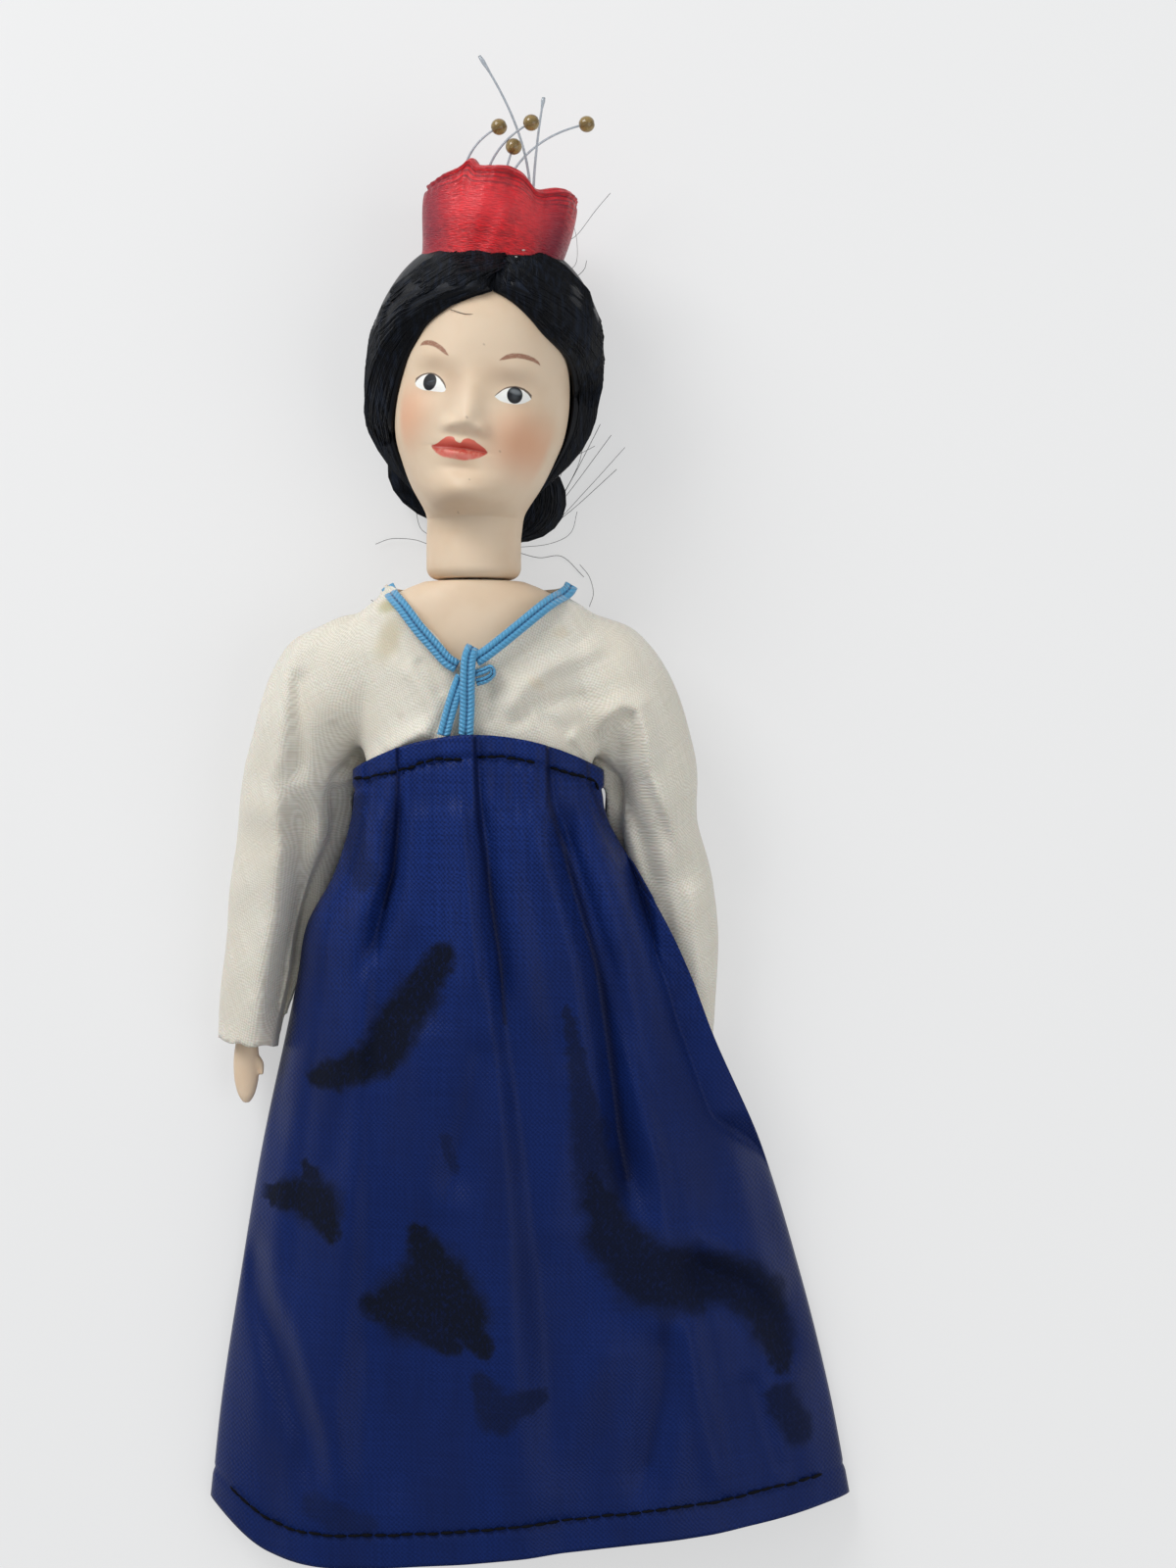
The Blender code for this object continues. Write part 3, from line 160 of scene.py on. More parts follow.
def ring_of_rings(rows, columns):
    """Faces of rings that close on the first ring again."""
    faces = grid_quads(rows, columns).tolist()
    last = (rows - 1) * columns
    return faces + [[last + k, last + (k + 1) % columns, (k + 1) % columns, k] for k in range(columns)]


def capped(rings):
    """Points and faces of rings with a flat cap at each end."""
    rows, columns = rings.shape[:2]
    points = rings.reshape(-1, 3)
    faces = grid_quads(rows, columns).tolist()
    faces.append(list(range(columns))[::-1])
    faces.append([len(points) - columns + k for k in range(columns)])
    return points, faces


def joined(parts):
    """Points and faces of several parts, each its own points and faces, as one."""
    points, faces, total = [], [], 0
    for part_points, part_faces in parts:
        points.append(part_points)
        faces.extend([[k + total for k in face] for face in part_faces])
        total += len(part_points)
    return np.concatenate(points), faces


def add_vectors(mesh, layers):
    """Stores a vector at every point of the mesh under each name."""
    for name, values in layers.items():
        layer = mesh.attributes.new(name, "FLOAT_VECTOR", "POINT")
        layer.data.foreach_set("vector", np.asarray(values, np.float32).ravel())


def make_piece(name, points, faces, finish, body, layers):
    """A mesh from points in the doll's millimetres, riding on a body."""
    mesh = bpy.data.meshes.new(name)
    mesh.from_pydata(to_world(points).tolist(), [], [list(map(int, face)) for face in faces])
    mesh.shade_smooth()
    add_vectors(mesh, layers)
    mesh.materials.append(finish)
    piece = bpy.data.objects.new(name, mesh)
    bpy.context.scene.collection.objects.link(piece)
    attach(piece, body)
    return piece


def outward(piece):
    """Turns every face of a mesh outward, away from the middle of the mesh where it is open."""
    work = bmesh.new()
    work.from_mesh(piece.data)
    bmesh.ops.recalc_face_normals(work, faces=work.faces)
    middle = sum((v.co for v in work.verts), Vector()) / len(work.verts)
    if sum(f.normal.dot(f.calc_center_median() - middle) * f.calc_area() for f in work.faces) < 0:
        bmesh.ops.reverse_faces(work, faces=work.faces)
    work.to_mesh(piece.data)
    work.free()


def tubes(paths, radii, sides=3):
    """Points and faces of many thin tubes, each a list of points with a radius at every point."""
    parts = []
    angles = np.arange(sides) * 2 * math.pi / sides
    for path, radius in zip(paths, radii):
        path = np.asarray(path, float)
        along = np.gradient(path, axis=0)
        along /= np.linalg.norm(along, axis=1)[:, None] + 1e-9
        spare = np.array((0.0, 0.0, 1.0)) if abs(along[0][2]) < 0.9 else np.array((1.0, 0.0, 0.0))
        side = np.cross(along, spare)
        side /= np.linalg.norm(side, axis=1)[:, None] + 1e-9
        up = np.cross(side, along)
        radius = np.broadcast_to(radius, len(path))
        rings = (
            path[:, None] + radius[:, None, None]
            * (side[:, None] * np.cos(angles)[None, :, None] + up[:, None] * np.sin(angles)[None, :, None])
        )
        parts.append(capped(rings))
    return joined(parts)


def toned(colour, *shares):
    """The colour with its red, green and blue times three shares, or all times one."""
    return tuple(c * k for c, k in zip(colour[:3], shares if len(shares) == 3 else shares * 3)) + (1.0,)


def rgb(red, green, blue):
    """A colour from 0 to 255 values, as the scene's linear colour."""
    linear = (v / 255 / 12.92 if v <= 10 else ((v / 255 + 0.055) / 1.055) ** 2.4 for v in (red, green, blue))
    return (*linear, 1.0)


def node(tree, kind, inputs=None, **settings):
    """A node with its settings, and its inputs linked to sockets or set to values."""
    made = tree.nodes.new(kind)
    for key, value in settings.items():
        setattr(made, key, value)
    for key, value in (inputs or {}).items():
        if isinstance(value, bpy.types.NodeSocket):
            tree.links.new(value, made.inputs[key])
        else:
            made.inputs[key].default_value = value
    return made


def calc(tree, operation, *values):
    return node(tree, "ShaderNodeMath", dict(enumerate(values)), operation=operation).outputs[0]


def times(tree, *values):
    """The product of several values."""
    product = values[0]
    for value in values[1:]:
        product = calc(tree, "MULTIPLY", product, value)
    return product


def vector(tree, operation, a, b, result=0):
    """Vector maths on a and b, where SCALE takes a number as b."""
    inputs = {0: a, "Scale" if operation == "SCALE" else 1: b}
    return node(tree, "ShaderNodeVectorMath", inputs, operation=operation).outputs[result]


def split(tree, value):
    """The x, y and z of a vector."""
    return node(tree, "ShaderNodeSeparateXYZ", {0: value}).outputs


def ramp(tree, value, low, high, out_low=0.0, out_high=1.0, kind="SMOOTHSTEP"):
    """The value moved from one range to another and kept inside it."""
    inputs = {"Value": value, "From Min": low, "From Max": high, "To Min": out_low, "To Max": out_high}
    return node(tree, "ShaderNodeMapRange", inputs, interpolation_type=kind).outputs[0]


def mix(tree, factor, a, b):
    return node(tree, "ShaderNodeMix", {0: factor, 6: a, 7: b}, data_type="RGBA").outputs[2]


def shade_noise(tree, place, scale, detail=2.0):
    return node(tree, "ShaderNodeTexNoise", {"Vector": place, "Scale": scale, "Detail": detail}).outputs["Fac"]


def stretch(tree, place, scale):
    return vector(tree, "MULTIPLY", place, scale)


def attribute(tree, name):
    return node(tree, "ShaderNodeAttribute", attribute_name=name).outputs["Vector"]


def new_group(name, inputs, outputs):
    """An empty node group and its input and output sockets: rows of name and kind, and a value for inputs."""
    tree = bpy.data.node_groups.new(name, "ShaderNodeTree")
    for label, kind, value in inputs:
        socket = tree.interface.new_socket(label, in_out="INPUT", socket_type=kind)
        if value is not None:
            socket.default_value = value
    for label, kind in outputs:
        tree.interface.new_socket(label, in_out="OUTPUT", socket_type=kind)
    return tree, tree.nodes.new("NodeGroupInput").outputs, tree.nodes.new("NodeGroupOutput").inputs


def use_group(tree, name, inputs):
    """The outputs of a node group placed in a tree."""
    return node(tree, "ShaderNodeGroup", inputs, node_tree=bpy.data.node_groups[name]).outputs


def dab_mask(tree, place, centre, half, soft, turn=0.0):
    """A soft ellipse about a centre: 1 inside, 0 outside."""
    inputs = {"Place": place, "Centre": (*centre, 0.0), "Half": (*half, 1.0), "Soft": soft, "Turn": turn}
    return use_group(tree, "soft_dab", inputs)["Mask"]


def new_material(name, **values):
    """A material and its tree and shader, with the values set on the shader's own sockets."""
    made = bpy.data.materials.new(name)
    made.use_nodes = True
    shader = made.node_tree.nodes["Principled BSDF"]
    for key, value in values.items():
        shader.inputs[key.replace("_", " ").title().replace("Ior", "IOR")].default_value = value
    return made, made.node_tree, shader


def bump(tree, shader, height, distance, strength):
    """Feeds a height, distance in metres, into the shader's normal."""
    inputs = {"Height": height, "Distance": distance, "Strength": strength}
    tree.links.new(node(tree, "ShaderNodeBump", inputs).outputs[0], shader.inputs["Normal"])


def make_dab_group():
    """A soft ellipse: 1 inside, 0 outside."""
    tree, given, out = new_group(
        "soft_dab",
        [("Place", "NodeSocketVector", None), ("Centre", "NodeSocketVector", None), ("Turn", "NodeSocketFloat", 0.0),
         ("Half", "NodeSocketVector", (1.0, 1.0, 1.0)), ("Soft", "NodeSocketFloat", 0.2)],
        [("Mask", "NodeSocketFloat")],
    )
    flat = stretch(tree, given["Place"], (1.0, 1.0, 0.0))
    inputs = {"Vector": flat, "Center": given["Centre"], "Angle": given["Turn"]}
    turned = node(tree, "ShaderNodeVectorRotate", inputs, rotation_type="Z_AXIS").outputs[0]
    share = vector(tree, "DIVIDE", vector(tree, "SUBTRACT", turned, given["Centre"]), given["Half"])
    reach = node(tree, "ShaderNodeVectorMath", {0: share}, operation="LENGTH").outputs["Value"]
    low = calc(tree, "SUBTRACT", 1.0, given["Soft"])
    high = calc(tree, "ADD", 1.0, given["Soft"])
    tree.links.new(ramp(tree, reach, low, high, 1.0, 0.0), out["Mask"])


def make_stroke_group():
    """A soft stroke from one point to another, with a radius at each: 1 inside, 0 outside."""
    tree, given, out = new_group(
        "soft_stroke",
        [("Place", "NodeSocketVector", None), ("From", "NodeSocketVector", None), ("To", "NodeSocketVector", None),
         ("Radius", "NodeSocketFloat", 1.0), ("End Radius", "NodeSocketFloat", 1.0),
             ("Soft", "NodeSocketFloat", 0.3)],
        [("Mask", "NodeSocketFloat")],
    )
    start = vector(tree, "SUBTRACT", stretch(tree, given["Place"], (1.0, 1.0, 0.0)), given["From"])
    run = vector(tree, "SUBTRACT", given["To"], given["From"])
    reached = vector(tree, "DOT_PRODUCT", start, run, "Value")
    along = calc(tree, "DIVIDE", reached, vector(tree, "DOT_PRODUCT", run, run, "Value"))
    along = node(tree, "ShaderNodeClamp", {0: along}).outputs[0]
    away = vector(tree, "DISTANCE", start, vector(tree, "SCALE", run, along), "Value")
    growth = calc(tree, "SUBTRACT", given["End Radius"], given["Radius"])
    radius = calc(tree, "MULTIPLY_ADD", along, growth, given["Radius"])
    share = calc(tree, "DIVIDE", away, radius)
    low = calc(tree, "SUBTRACT", 1.0, given["Soft"])
    high = calc(tree, "ADD", 1.0, given["Soft"])
    tree.links.new(ramp(tree, share, low, high, 1.0, 0.0), out["Mask"])


def make_weave_group():
    """Plain weave on cloth coordinates in millimetres: a height, and a tone for the threads' own light and dark."""
    tree, given, out = new_group(
        "plain_weave",
        [("Cloth", "NodeSocketVector", None), ("Pitch", "NodeSocketFloat", 0.3), ("Slub", "NodeSocketFloat", 0.5)],
        [("Height", "NodeSocketFloat"), ("Tone", "NodeSocketFloat")],
    )
    wander = shade_noise(tree, given["Cloth"], 0.35, 2.0)
    shift = times(tree, calc(tree, "SUBTRACT", wander, 0.5), 1.2)
    parts = split(tree, given["Cloth"])
    step = calc(tree, "DIVIDE", math.pi, given["Pitch"])
    warp = calc(tree, "SINE", times(tree, calc(tree, "ADD", parts[0], shift), step))
    weft = calc(tree, "SINE", times(tree, calc(tree, "ADD", parts[1], shift), step))
    over = times(tree, warp, weft)
    threads = [
        shade_noise(tree, stretch(tree, given["Cloth"], scale), 1.0, 1.0)
        for scale in ((3.0, 0.12, 0.0), (0.12, 3.0, 0.0))
    ]
    uneven = calc(tree, "ADD", calc(tree, "SUBTRACT", threads[0], 0.5), calc(tree, "SUBTRACT", threads[1], 0.5))
    uneven = times(tree, uneven, given["Slub"])
    height = calc(tree, "ADD", times(tree, over, 0.5), uneven)
    tree.links.new(height, out["Height"])
    tree.links.new(calc(tree, "ADD", times(tree, over, 0.35), uneven), out["Tone"])


# Painted face in millimetres from the middle of the eye line, leaning with the head:
# each eye's lash line, upper edge and lower edge, then irises, brows, lips and specks
LIDS = {
    "left": (
        ((-8.51, 0.28), (-7.89, 1.0), (-7.13, 1.45), (-6.23, 1.66), (-5.38, 1.56), (-4.71, 1.25), (-4.11, 0.72),
            (-3.55, -0.2)),
        ((-8.1, 0.1), (-7.66, 0.80), (-6.91, 1.32), (-5.9, 1.48), (-5.12, 1.23), (-4.28, 0.53), (-3.55, -0.41)),
        ((-8.1, 0.1), (-7.55, -0.51), (-6.78, -0.8), (-5.72, -0.89), (-4.68, -0.93), (-3.85, -0.86), (-3.55, -0.5)),
    ),
    "right": (
        ((3.26, -0.35), (4.22, 0.78), (4.97, 1.28), (5.86, 1.52), (6.8, 1.49), (7.58, 1.2), (8.16, 0.77),
            (8.66, 0.25)),
        ((3.26, -0.46), (3.79, 0.14), (4.32, 0.68), (4.99, 1.08), (5.89, 1.32), (6.74, 1.22), (7.52, 0.86),
            (8.2, 0.22)),
        ((3.26, -0.46), (3.95, -0.87), (4.7, -1.02), (6.05, -1.02), (7.14, -0.68), (7.8, -0.22), (8.2, 0.22)),
    ),
}
IRISES = {"left": ((-5.96, 0.36), (0.94, 1.22)), "right": ((5.93, 0.24), (1.06, 1.20))}
BROWS = (
    (
        ((-8.16, 5.32), (-7.92, 5.78), (-7.44, 6.02), (-6.82, 6.04), (-6.06, 5.86), (-5.27, 5.47), (-4.57, 4.96),
            (-3.85, 4.07)),
        ((-8.16, 5.28), (-7.44, 5.38), (-6.81, 5.33), (-6.05, 5.14), (-5.38, 4.83), (-4.69, 4.42), (-3.85, 4.05)),
    ),
    (
        ((3.1, 4.49), (3.54, 4.99), (4.28, 5.57), (5.27, 5.89), (6.29, 6.01), (7.35, 5.91), (8.12, 5.66),
            (8.7, 5.04)),
        ((3.1, 4.45), (4.0, 4.75), (4.98, 5.12), (5.99, 5.32), (7.02, 5.34), (7.87, 5.26), (8.7, 5.02)),
    ),
)
LIPS = (
    ((-4.34, -8.3), (-3.57, -7.89), (-2.84, -7.25), (-2.08, -6.82), (-1.55, -6.84), (-0.95, -7.37), (-0.4, -7.53),
     (-0.06, -7.08), (0.52, -6.78), (1.15, -6.83), (1.94, -7.22), (2.83, -7.6), (3.47, -8.2)),
    ((-4.34, -8.36), (-3.07, -8.43), (-1.83, -8.4), (-0.59, -8.35), (0.22, -8.16), (1.26, -8.21), (2.31, -8.25),
        (3.47, -8.27)),
    ((-4.34, -8.4), (-3.58, -9.14), (-2.68, -9.58), (-1.62, -9.72), (-0.57, -9.77), (0.27, -9.82), (1.27, -9.58),
     (2.26, -9.25), (2.92, -8.84), (3.47, -8.33)),
)
# Specks in the bisque: place and size
SPECKS = (
    ((0.74, 6.28), 0.16), ((1.66, -12.3), 0.14), ((5.14, -7.76), 0.17), ((0.11, -4.19), 0.20), ((0.5, -16.5), 0.16),
)


def edge_curve(tree, x, points):
    """The height of the curve through points at x."""
    x0, x1 = points[0][0], points[-1][0]
    y0, y1 = min(p[1] for p in points) - 0.5, max(p[1] for p in points) + 0.5
    made = node(tree, "ShaderNodeFloatCurve", {"Value": ramp(tree, x, x0, x1, kind="LINEAR")})
    spots = made.mapping.curves[0].points
    places = [((px - x0) / (x1 - x0), (py - y0) / (y1 - y0)) for px, py in points]
    spots[0].location, spots[-1].location = places[0], places[-1]
    for place in places[1:-1]:
        spots.new(*place)
    made.mapping.update()
    return ramp(tree, made.outputs[0], 0.0, 1.0, y0, y1, "LINEAR")


def between(tree, x, y, top, bottom, soft):
    """1 between two curves, each a row of points with x rising, and 0 past their ends."""
    under = ramp(tree, calc(tree, "SUBTRACT", edge_curve(tree, x, top), y), -soft, soft)
    over = ramp(tree, calc(tree, "SUBTRACT", y, edge_curve(tree, x, bottom)), -soft, soft)
    start, end = max(top[0][0], bottom[0][0]), min(top[-1][0], bottom[-1][0])
    inside = times(tree, ramp(tree, x, start - soft, start + soft), ramp(tree, x, end + soft, end - soft))
    return times(tree, under, over, inside)


def make_face_group():
    """The painted face over a skin colour, with painted shade and painted highlights: place is in the face's own
    millimetres.
    """
    tree, given, out = new_group(
        "painted_face",
        [("Place", "NodeSocketVector", None), ("Skin", "NodeSocketColor", (0.7, 0.5, 0.4, 1.0)),
         ("Lips", "NodeSocketColor", (0.5, 0.02, 0.02, 1.0)), ("Brows", "NodeSocketColor", (0.2, 0.1, 0.06, 1.0))],
        [("Colour", "NodeSocketColor"), ("Gloss", "NodeSocketFloat")],
    )
    place = given["Place"]
    parts = split(tree, place)
    shake = shade_noise(tree, place, 2.2, 3.0)
    x, y = (
        calc(tree, "ADD", part, times(tree, calc(tree, "SUBTRACT", shake, 0.5), reach))
        for part, reach in zip(parts, (0.10, 0.12))
    )
    front = ramp(tree, parts[2], 2.0, 4.5)
    colour = given["Skin"]

    def area(mask, strength, tint):
        return mix(tree, times(tree, mask, strength, front), colour, tint)

    def dab(centre, half, soft, strength, tint, turn=0.0):
        return area(dab_mask(tree, place, centre, half, soft, turn), strength, tint)

    blush, shadow = rgb(216, 150, 112), rgb(150, 108, 80)
    colour = dab((-8.9, -4.6), (2.9, 3.6), 0.95, 0.62, blush)
    colour = dab((8.0, -6.2), (3.9, 3.6), 0.95, 0.66, blush)
    # painted shade: darker dabs in the eye sockets, beside the nose, under the chin and in the hollow under the lower
    # lip
    colour = dab((4.9, 2.6), (3.4, 1.5), 0.95, 0.20, shadow, 0.15)
    colour = dab((-4.6, 2.2), (2.6, 1.5), 0.95, 0.16, shadow, 0.45)
    colour = dab((-2.6, 0.0), (1.2, 2.6), 0.95, 0.16, shadow)
    colour = dab((0.2, -15.9), (6.4, 1.3), 0.95, 0.20, shadow)
    colour = dab((0.0, -10.6), (2.2, 0.45), 0.9, 0.14, shadow)
    for side, (lash, top, bottom) in LIDS.items():
        white = between(tree, x, y, top, bottom, 0.06)
        colour = area(white, 0.97, rgb(236, 236, 232))
        lid = between(tree, x, y, lash, bottom, 0.07)
        colour = area(times(tree, dab_mask(tree, place, *IRISES[side], 0.06), lid), 1.0, rgb(17, 19, 24))
        colour = area(times(tree, between(tree, x, y, lash, top, 0.06), 0.85), 1.0, rgb(62, 50, 46))
    # painted highlights: grey and bluish reflections on the glossy irises
    colour = dab((5.93, 0.72), (0.72, 0.36), 0.6, 0.75, rgb(128, 134, 138), 0.1)
    colour = dab((6.0, 0.15), (0.40, 0.55), 0.8, 0.35, rgb(90, 96, 102), 0.2)
    colour = dab((-5.75, 0.45), (0.45, 0.12), 0.8, 0.55, rgb(66, 74, 86), -0.3)
    colour = dab((-6.15, 0.0), (0.30, 0.10), 0.8, 0.4, rgb(56, 62, 74), 0.5)
    brow_hairs = shade_noise(tree, stretch(tree, place, (1.0, 2.6, 1.0)), 2.4, 3.0)
    bristled = ramp(tree, brow_hairs, 0.25, 0.55, 0.72, 1.0)
    for top, bottom in BROWS:
        colour = area(times(tree, between(tree, x, y, top, bottom, 0.11), bristled), 0.9, given["Brows"])
    upper = between(tree, x, y, LIPS[0], LIPS[1], 0.10)
    lower = between(tree, x, y, LIPS[1], LIPS[2], 0.14)
    pale = mix(tree, ramp(tree, y, -8.5, -9.6), given["Lips"], rgb(222, 108, 96))
    patchy = ramp(tree, shade_noise(tree, place, 1.6, 3.0), 0.35, 0.65, 0.8, 1.0)
    colour = area(times(tree, lower, patchy), 0.95, pale)
    rosy = mix(tree, ramp(tree, y, -8.2, -7.0), given["Lips"], rgb(206, 92, 76))
    colour = area(upper, 0.95, rosy)
    above, below = ([(px, py + rise) for px, py in LIPS[1]] for rise in (0.22, -0.16))
    colour = area(between(tree, x, y, above, below, 0.18), 0.55, rgb(150, 34, 28))
    # painted highlights on the lower lip
    colour = dab((-1.6, -9.0), (0.7, 0.28), 0.8, 0.5, rgb(232, 140, 130), 0.1)
    colour = dab((0.6, -9.3), (0.8, 0.2), 0.8, 0.4, rgb(235, 150, 140))
    for centre, size in SPECKS:
        colour = dab(centre, (size, size * 0.7), 0.8, 0.42, rgb(128, 102, 84), 0.6)
    tree.links.new(colour, out["Colour"])
    tree.links.new(calc(tree, "MAXIMUM", upper, lower), out["Gloss"])


def make_groups():
    """Makes the node groups that several materials share."""
    make_dab_group()
    make_stroke_group()
    make_weave_group()
    make_face_group()


def face_place(x, y):
    """x and y in the face's own frame."""
    dx, dy = x - EYE_LINE[0], y - EYE_LINE[1]
    c, s = math.cos(FACE_LEAN), math.sin(FACE_LEAN)
    return dx * c - dy * s, dx * s + dy * c


# Relief of the face: across, up, half width, half height above and below, height
RELIEF = (
    (0.0, -1.6, 1.9, 3.2, 2.4, 1.0), (0.0, -4.6, 2.0, 2.3, 1.35, 2.2), (0.0, -7.3, 2.5, 0.65, 0.65, 0.55),
    (-0.4, -9.0, 2.3, 0.60, 0.75, 0.75), (-0.4, -8.25, 3.4, 0.22, 0.22, -0.30), (-0.2, -6.4, 0.45, 0.6, 0.5, -0.18),
    (0.0, -10.9, 2.4, 0.7, 0.8, -0.35), (0.2, -14.0, 3.3, 2.0, 2.0, 1.05),
    (-2.2, -5.3, 1.05, 1.05, 0.75, 1.0), (2.2, -5.3, 1.05, 1.05, 0.75, 1.0),
    (-5.9, 0.5, 2.9, 2.1, 1.9, -1.05), (5.9, 0.5, 2.9, 2.1, 1.9, -1.05),
    (-5.9, 0.1, 1.9, 1.25, 1.1, 1.0), (5.9, 0.1, 1.9, 1.25, 1.1, 1.0),
    (-6.2, 3.9, 2.8, 1.2, 1.2, 0.30), (6.2, 3.9, 2.8, 1.2, 1.2, 0.30),
    (-6.9, -4.1, 3.2, 3.2, 3.4, 0.60), (6.9, -4.1, 3.2, 3.2, 3.4, 0.60),
)


def face_relief(x, y):
    """How far the features stand out at x, y."""
    across, up = face_place(x, y)
    total = np.zeros_like(x)
    for cx, cy, wide, above, below, height in RELIEF:
        tall = np.where(up > cy, above, below)
        total = total + height * np.exp(-(((across - cx) / wide) ** 2) - ((up - cy) / tall) ** 2)
    return total


def head_centre_x(y):
    """The middle of the head leans to the right towards the crown."""
    return CROWN_SHIFT * fade(0.0, NECK_LENGTH + HEAD_HEIGHT, y)


def head_point(angle, t, face=True):
    """Points on the head at angles about its axis and shares t of its height."""
    wide, front, back = table(HEAD_FORM, t)
    power = 2.0 + 0.25 * np.sin(math.pi * np.minimum(t * 1.3, 1.0))
    c, s = np.cos(angle), np.sin(angle)
    y = NECK_LENGTH + HEAD_HEIGHT * t + 0 * angle
    x = head_centre_x(y) + HEAD_HALF_WIDTH * wide * signed_power(c, 2 / power)
    depth = np.where(s > 0, HEAD_FRONT * front, HEAD_BACK * back)
    z = AXIS_Z + depth * signed_power(s, 2 / power)
    if face:
        z = z + face_relief(x, y) * fade(0.1, 0.6, (z - AXIS_Z) / HEAD_FRONT)
    return np.stack([x, y, z], -1)


def crowded_angles(columns):
    """Angles round the head, closer together on the face."""
    a = np.arange(columns) * 2 * math.pi / columns
    return a + 0.35 * np.cos(a)


def turned_ring(y, radius, angles):
    """A circle about the neck's axis."""
    return np.stack([radius * np.cos(angles), np.full_like(angles, y), AXIS_Z + radius * np.sin(angles)], -1)


def face_marks(points):
    """Where points are on the painted face, and how far they stand in front of it."""
    across, up = face_place(points[:, 0], points[:, 1])
    return np.stack([across, up, points[:, 2] - AXIS_Z - 4.0], -1)


def build_head(finish, rows, columns):
    """The hollow head with its neck: inside from the crown down, round the foot of the neck and up the outside."""
    a = crowded_angles(columns)
    wall, rounding = 2.0, 1.6
    rings = []
    for t in np.linspace(0.95, 0.06, 10):
        ring = head_point(a, np.full_like(a, t), face=False)
        middle = np.array((float(head_centre_x(NECK_LENGTH + HEAD_HEIGHT * t)), 0.0, AXIS_Z))
        spread = ring - middle
        size = np.hypot(spread[:, 0], spread[:, 2])[:, None]
        inner = ring.copy()
        inner[:, (0, 2)] = (middle + spread * (1 - wall / size))[:, (0, 2)]
        inner[:, 1] -= wall * fade(0.5, 0.95, t)
        rings.append(inner)
    floor = NECK_PARTING + wall
    for y, radius in ((8.7, 4.7), (floor, 4.7), (floor, 1.7), (NECK_PARTING, 1.7)):
        rings.append(turned_ring(y, radius, a))
    for k in range(9):
        turn = math.pi / 2 * (1 - k / 8)
        y = NECK_PARTING + rounding * (1 - math.sin(turn))
        rings.append(turned_ring(y, NECK_RADIUS - rounding * (1 - math.cos(turn)), a))
    for y in (3.2, 4.6, 6.09):
        rings.append(turned_ring(y, NECK_RADIUS, a))
    for t in np.linspace(0.0, 1.0, rows) ** 1.06:
        rings.append(head_point(a, np.full_like(a, t)))
    points, faces = capped(np.stack(rings))
    head = make_piece("bisque_head", points, faces, finish, "head", {"face": face_marks(points), "local": points})
    outward(head)
    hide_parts("head")
    return head


def hair_point(q, t, lift=0.0):
    """Points on the hair: q from the left edge of the face (0) round the back to the right edge (1)."""
    wide, front, back = table(HEAD_FORM, np.minimum(t, 0.985))
    side_share, front_share, back_share = table(HAIR_FORM, t)
    left, right = table(HAIRLINE, t)
    half = wide * HEAD_HALF_WIDTH
    start = np.arccos(np.clip(left * HEAD_HALF_WIDTH / half, -1.0, 1.0))
    end = np.arccos(np.clip(right * HEAD_HALF_WIDTH / half, -1.0, 1.0))
    a = start + q * (2 * math.pi + end - start)
    under = head_point(a, np.minimum(t, 0.985), face=False)
    y = NECK_LENGTH + HEAD_HEIGHT * t + 2.1 * fade(0.7, 1.0, t)
    c, s = np.cos(a), np.sin(a)
    reach = half + 4.2 * side_share
    depth = np.where(s > 0, HEAD_FRONT * (front + front_share), HEAD_BACK * back + 1.6 * back_share)
    over = np.stack([head_centre_x(y) + reach * c, y, AXIS_Z + depth * s], -1)
    edge = np.minimum(q, 1 - q) * (2 * math.pi + end - start) * half
    rise = np.sqrt(fade(-0.3, 2.6, edge))
    rise = np.maximum(rise, 0.96 * fade(0.79, 0.85, t))
    rise = rise * (1 - 0.35 * fade(0.14, 0.05, t))
    out = over - np.stack([head_centre_x(y), y, np.full_like(y, AXIS_Z)], -1)
    out = out / (np.linalg.norm(out, axis=-1)[..., None] + 1e-9)
    base = under + (over - under) * rise[..., None]
    return base + out * np.asarray(lift, float)[..., None]


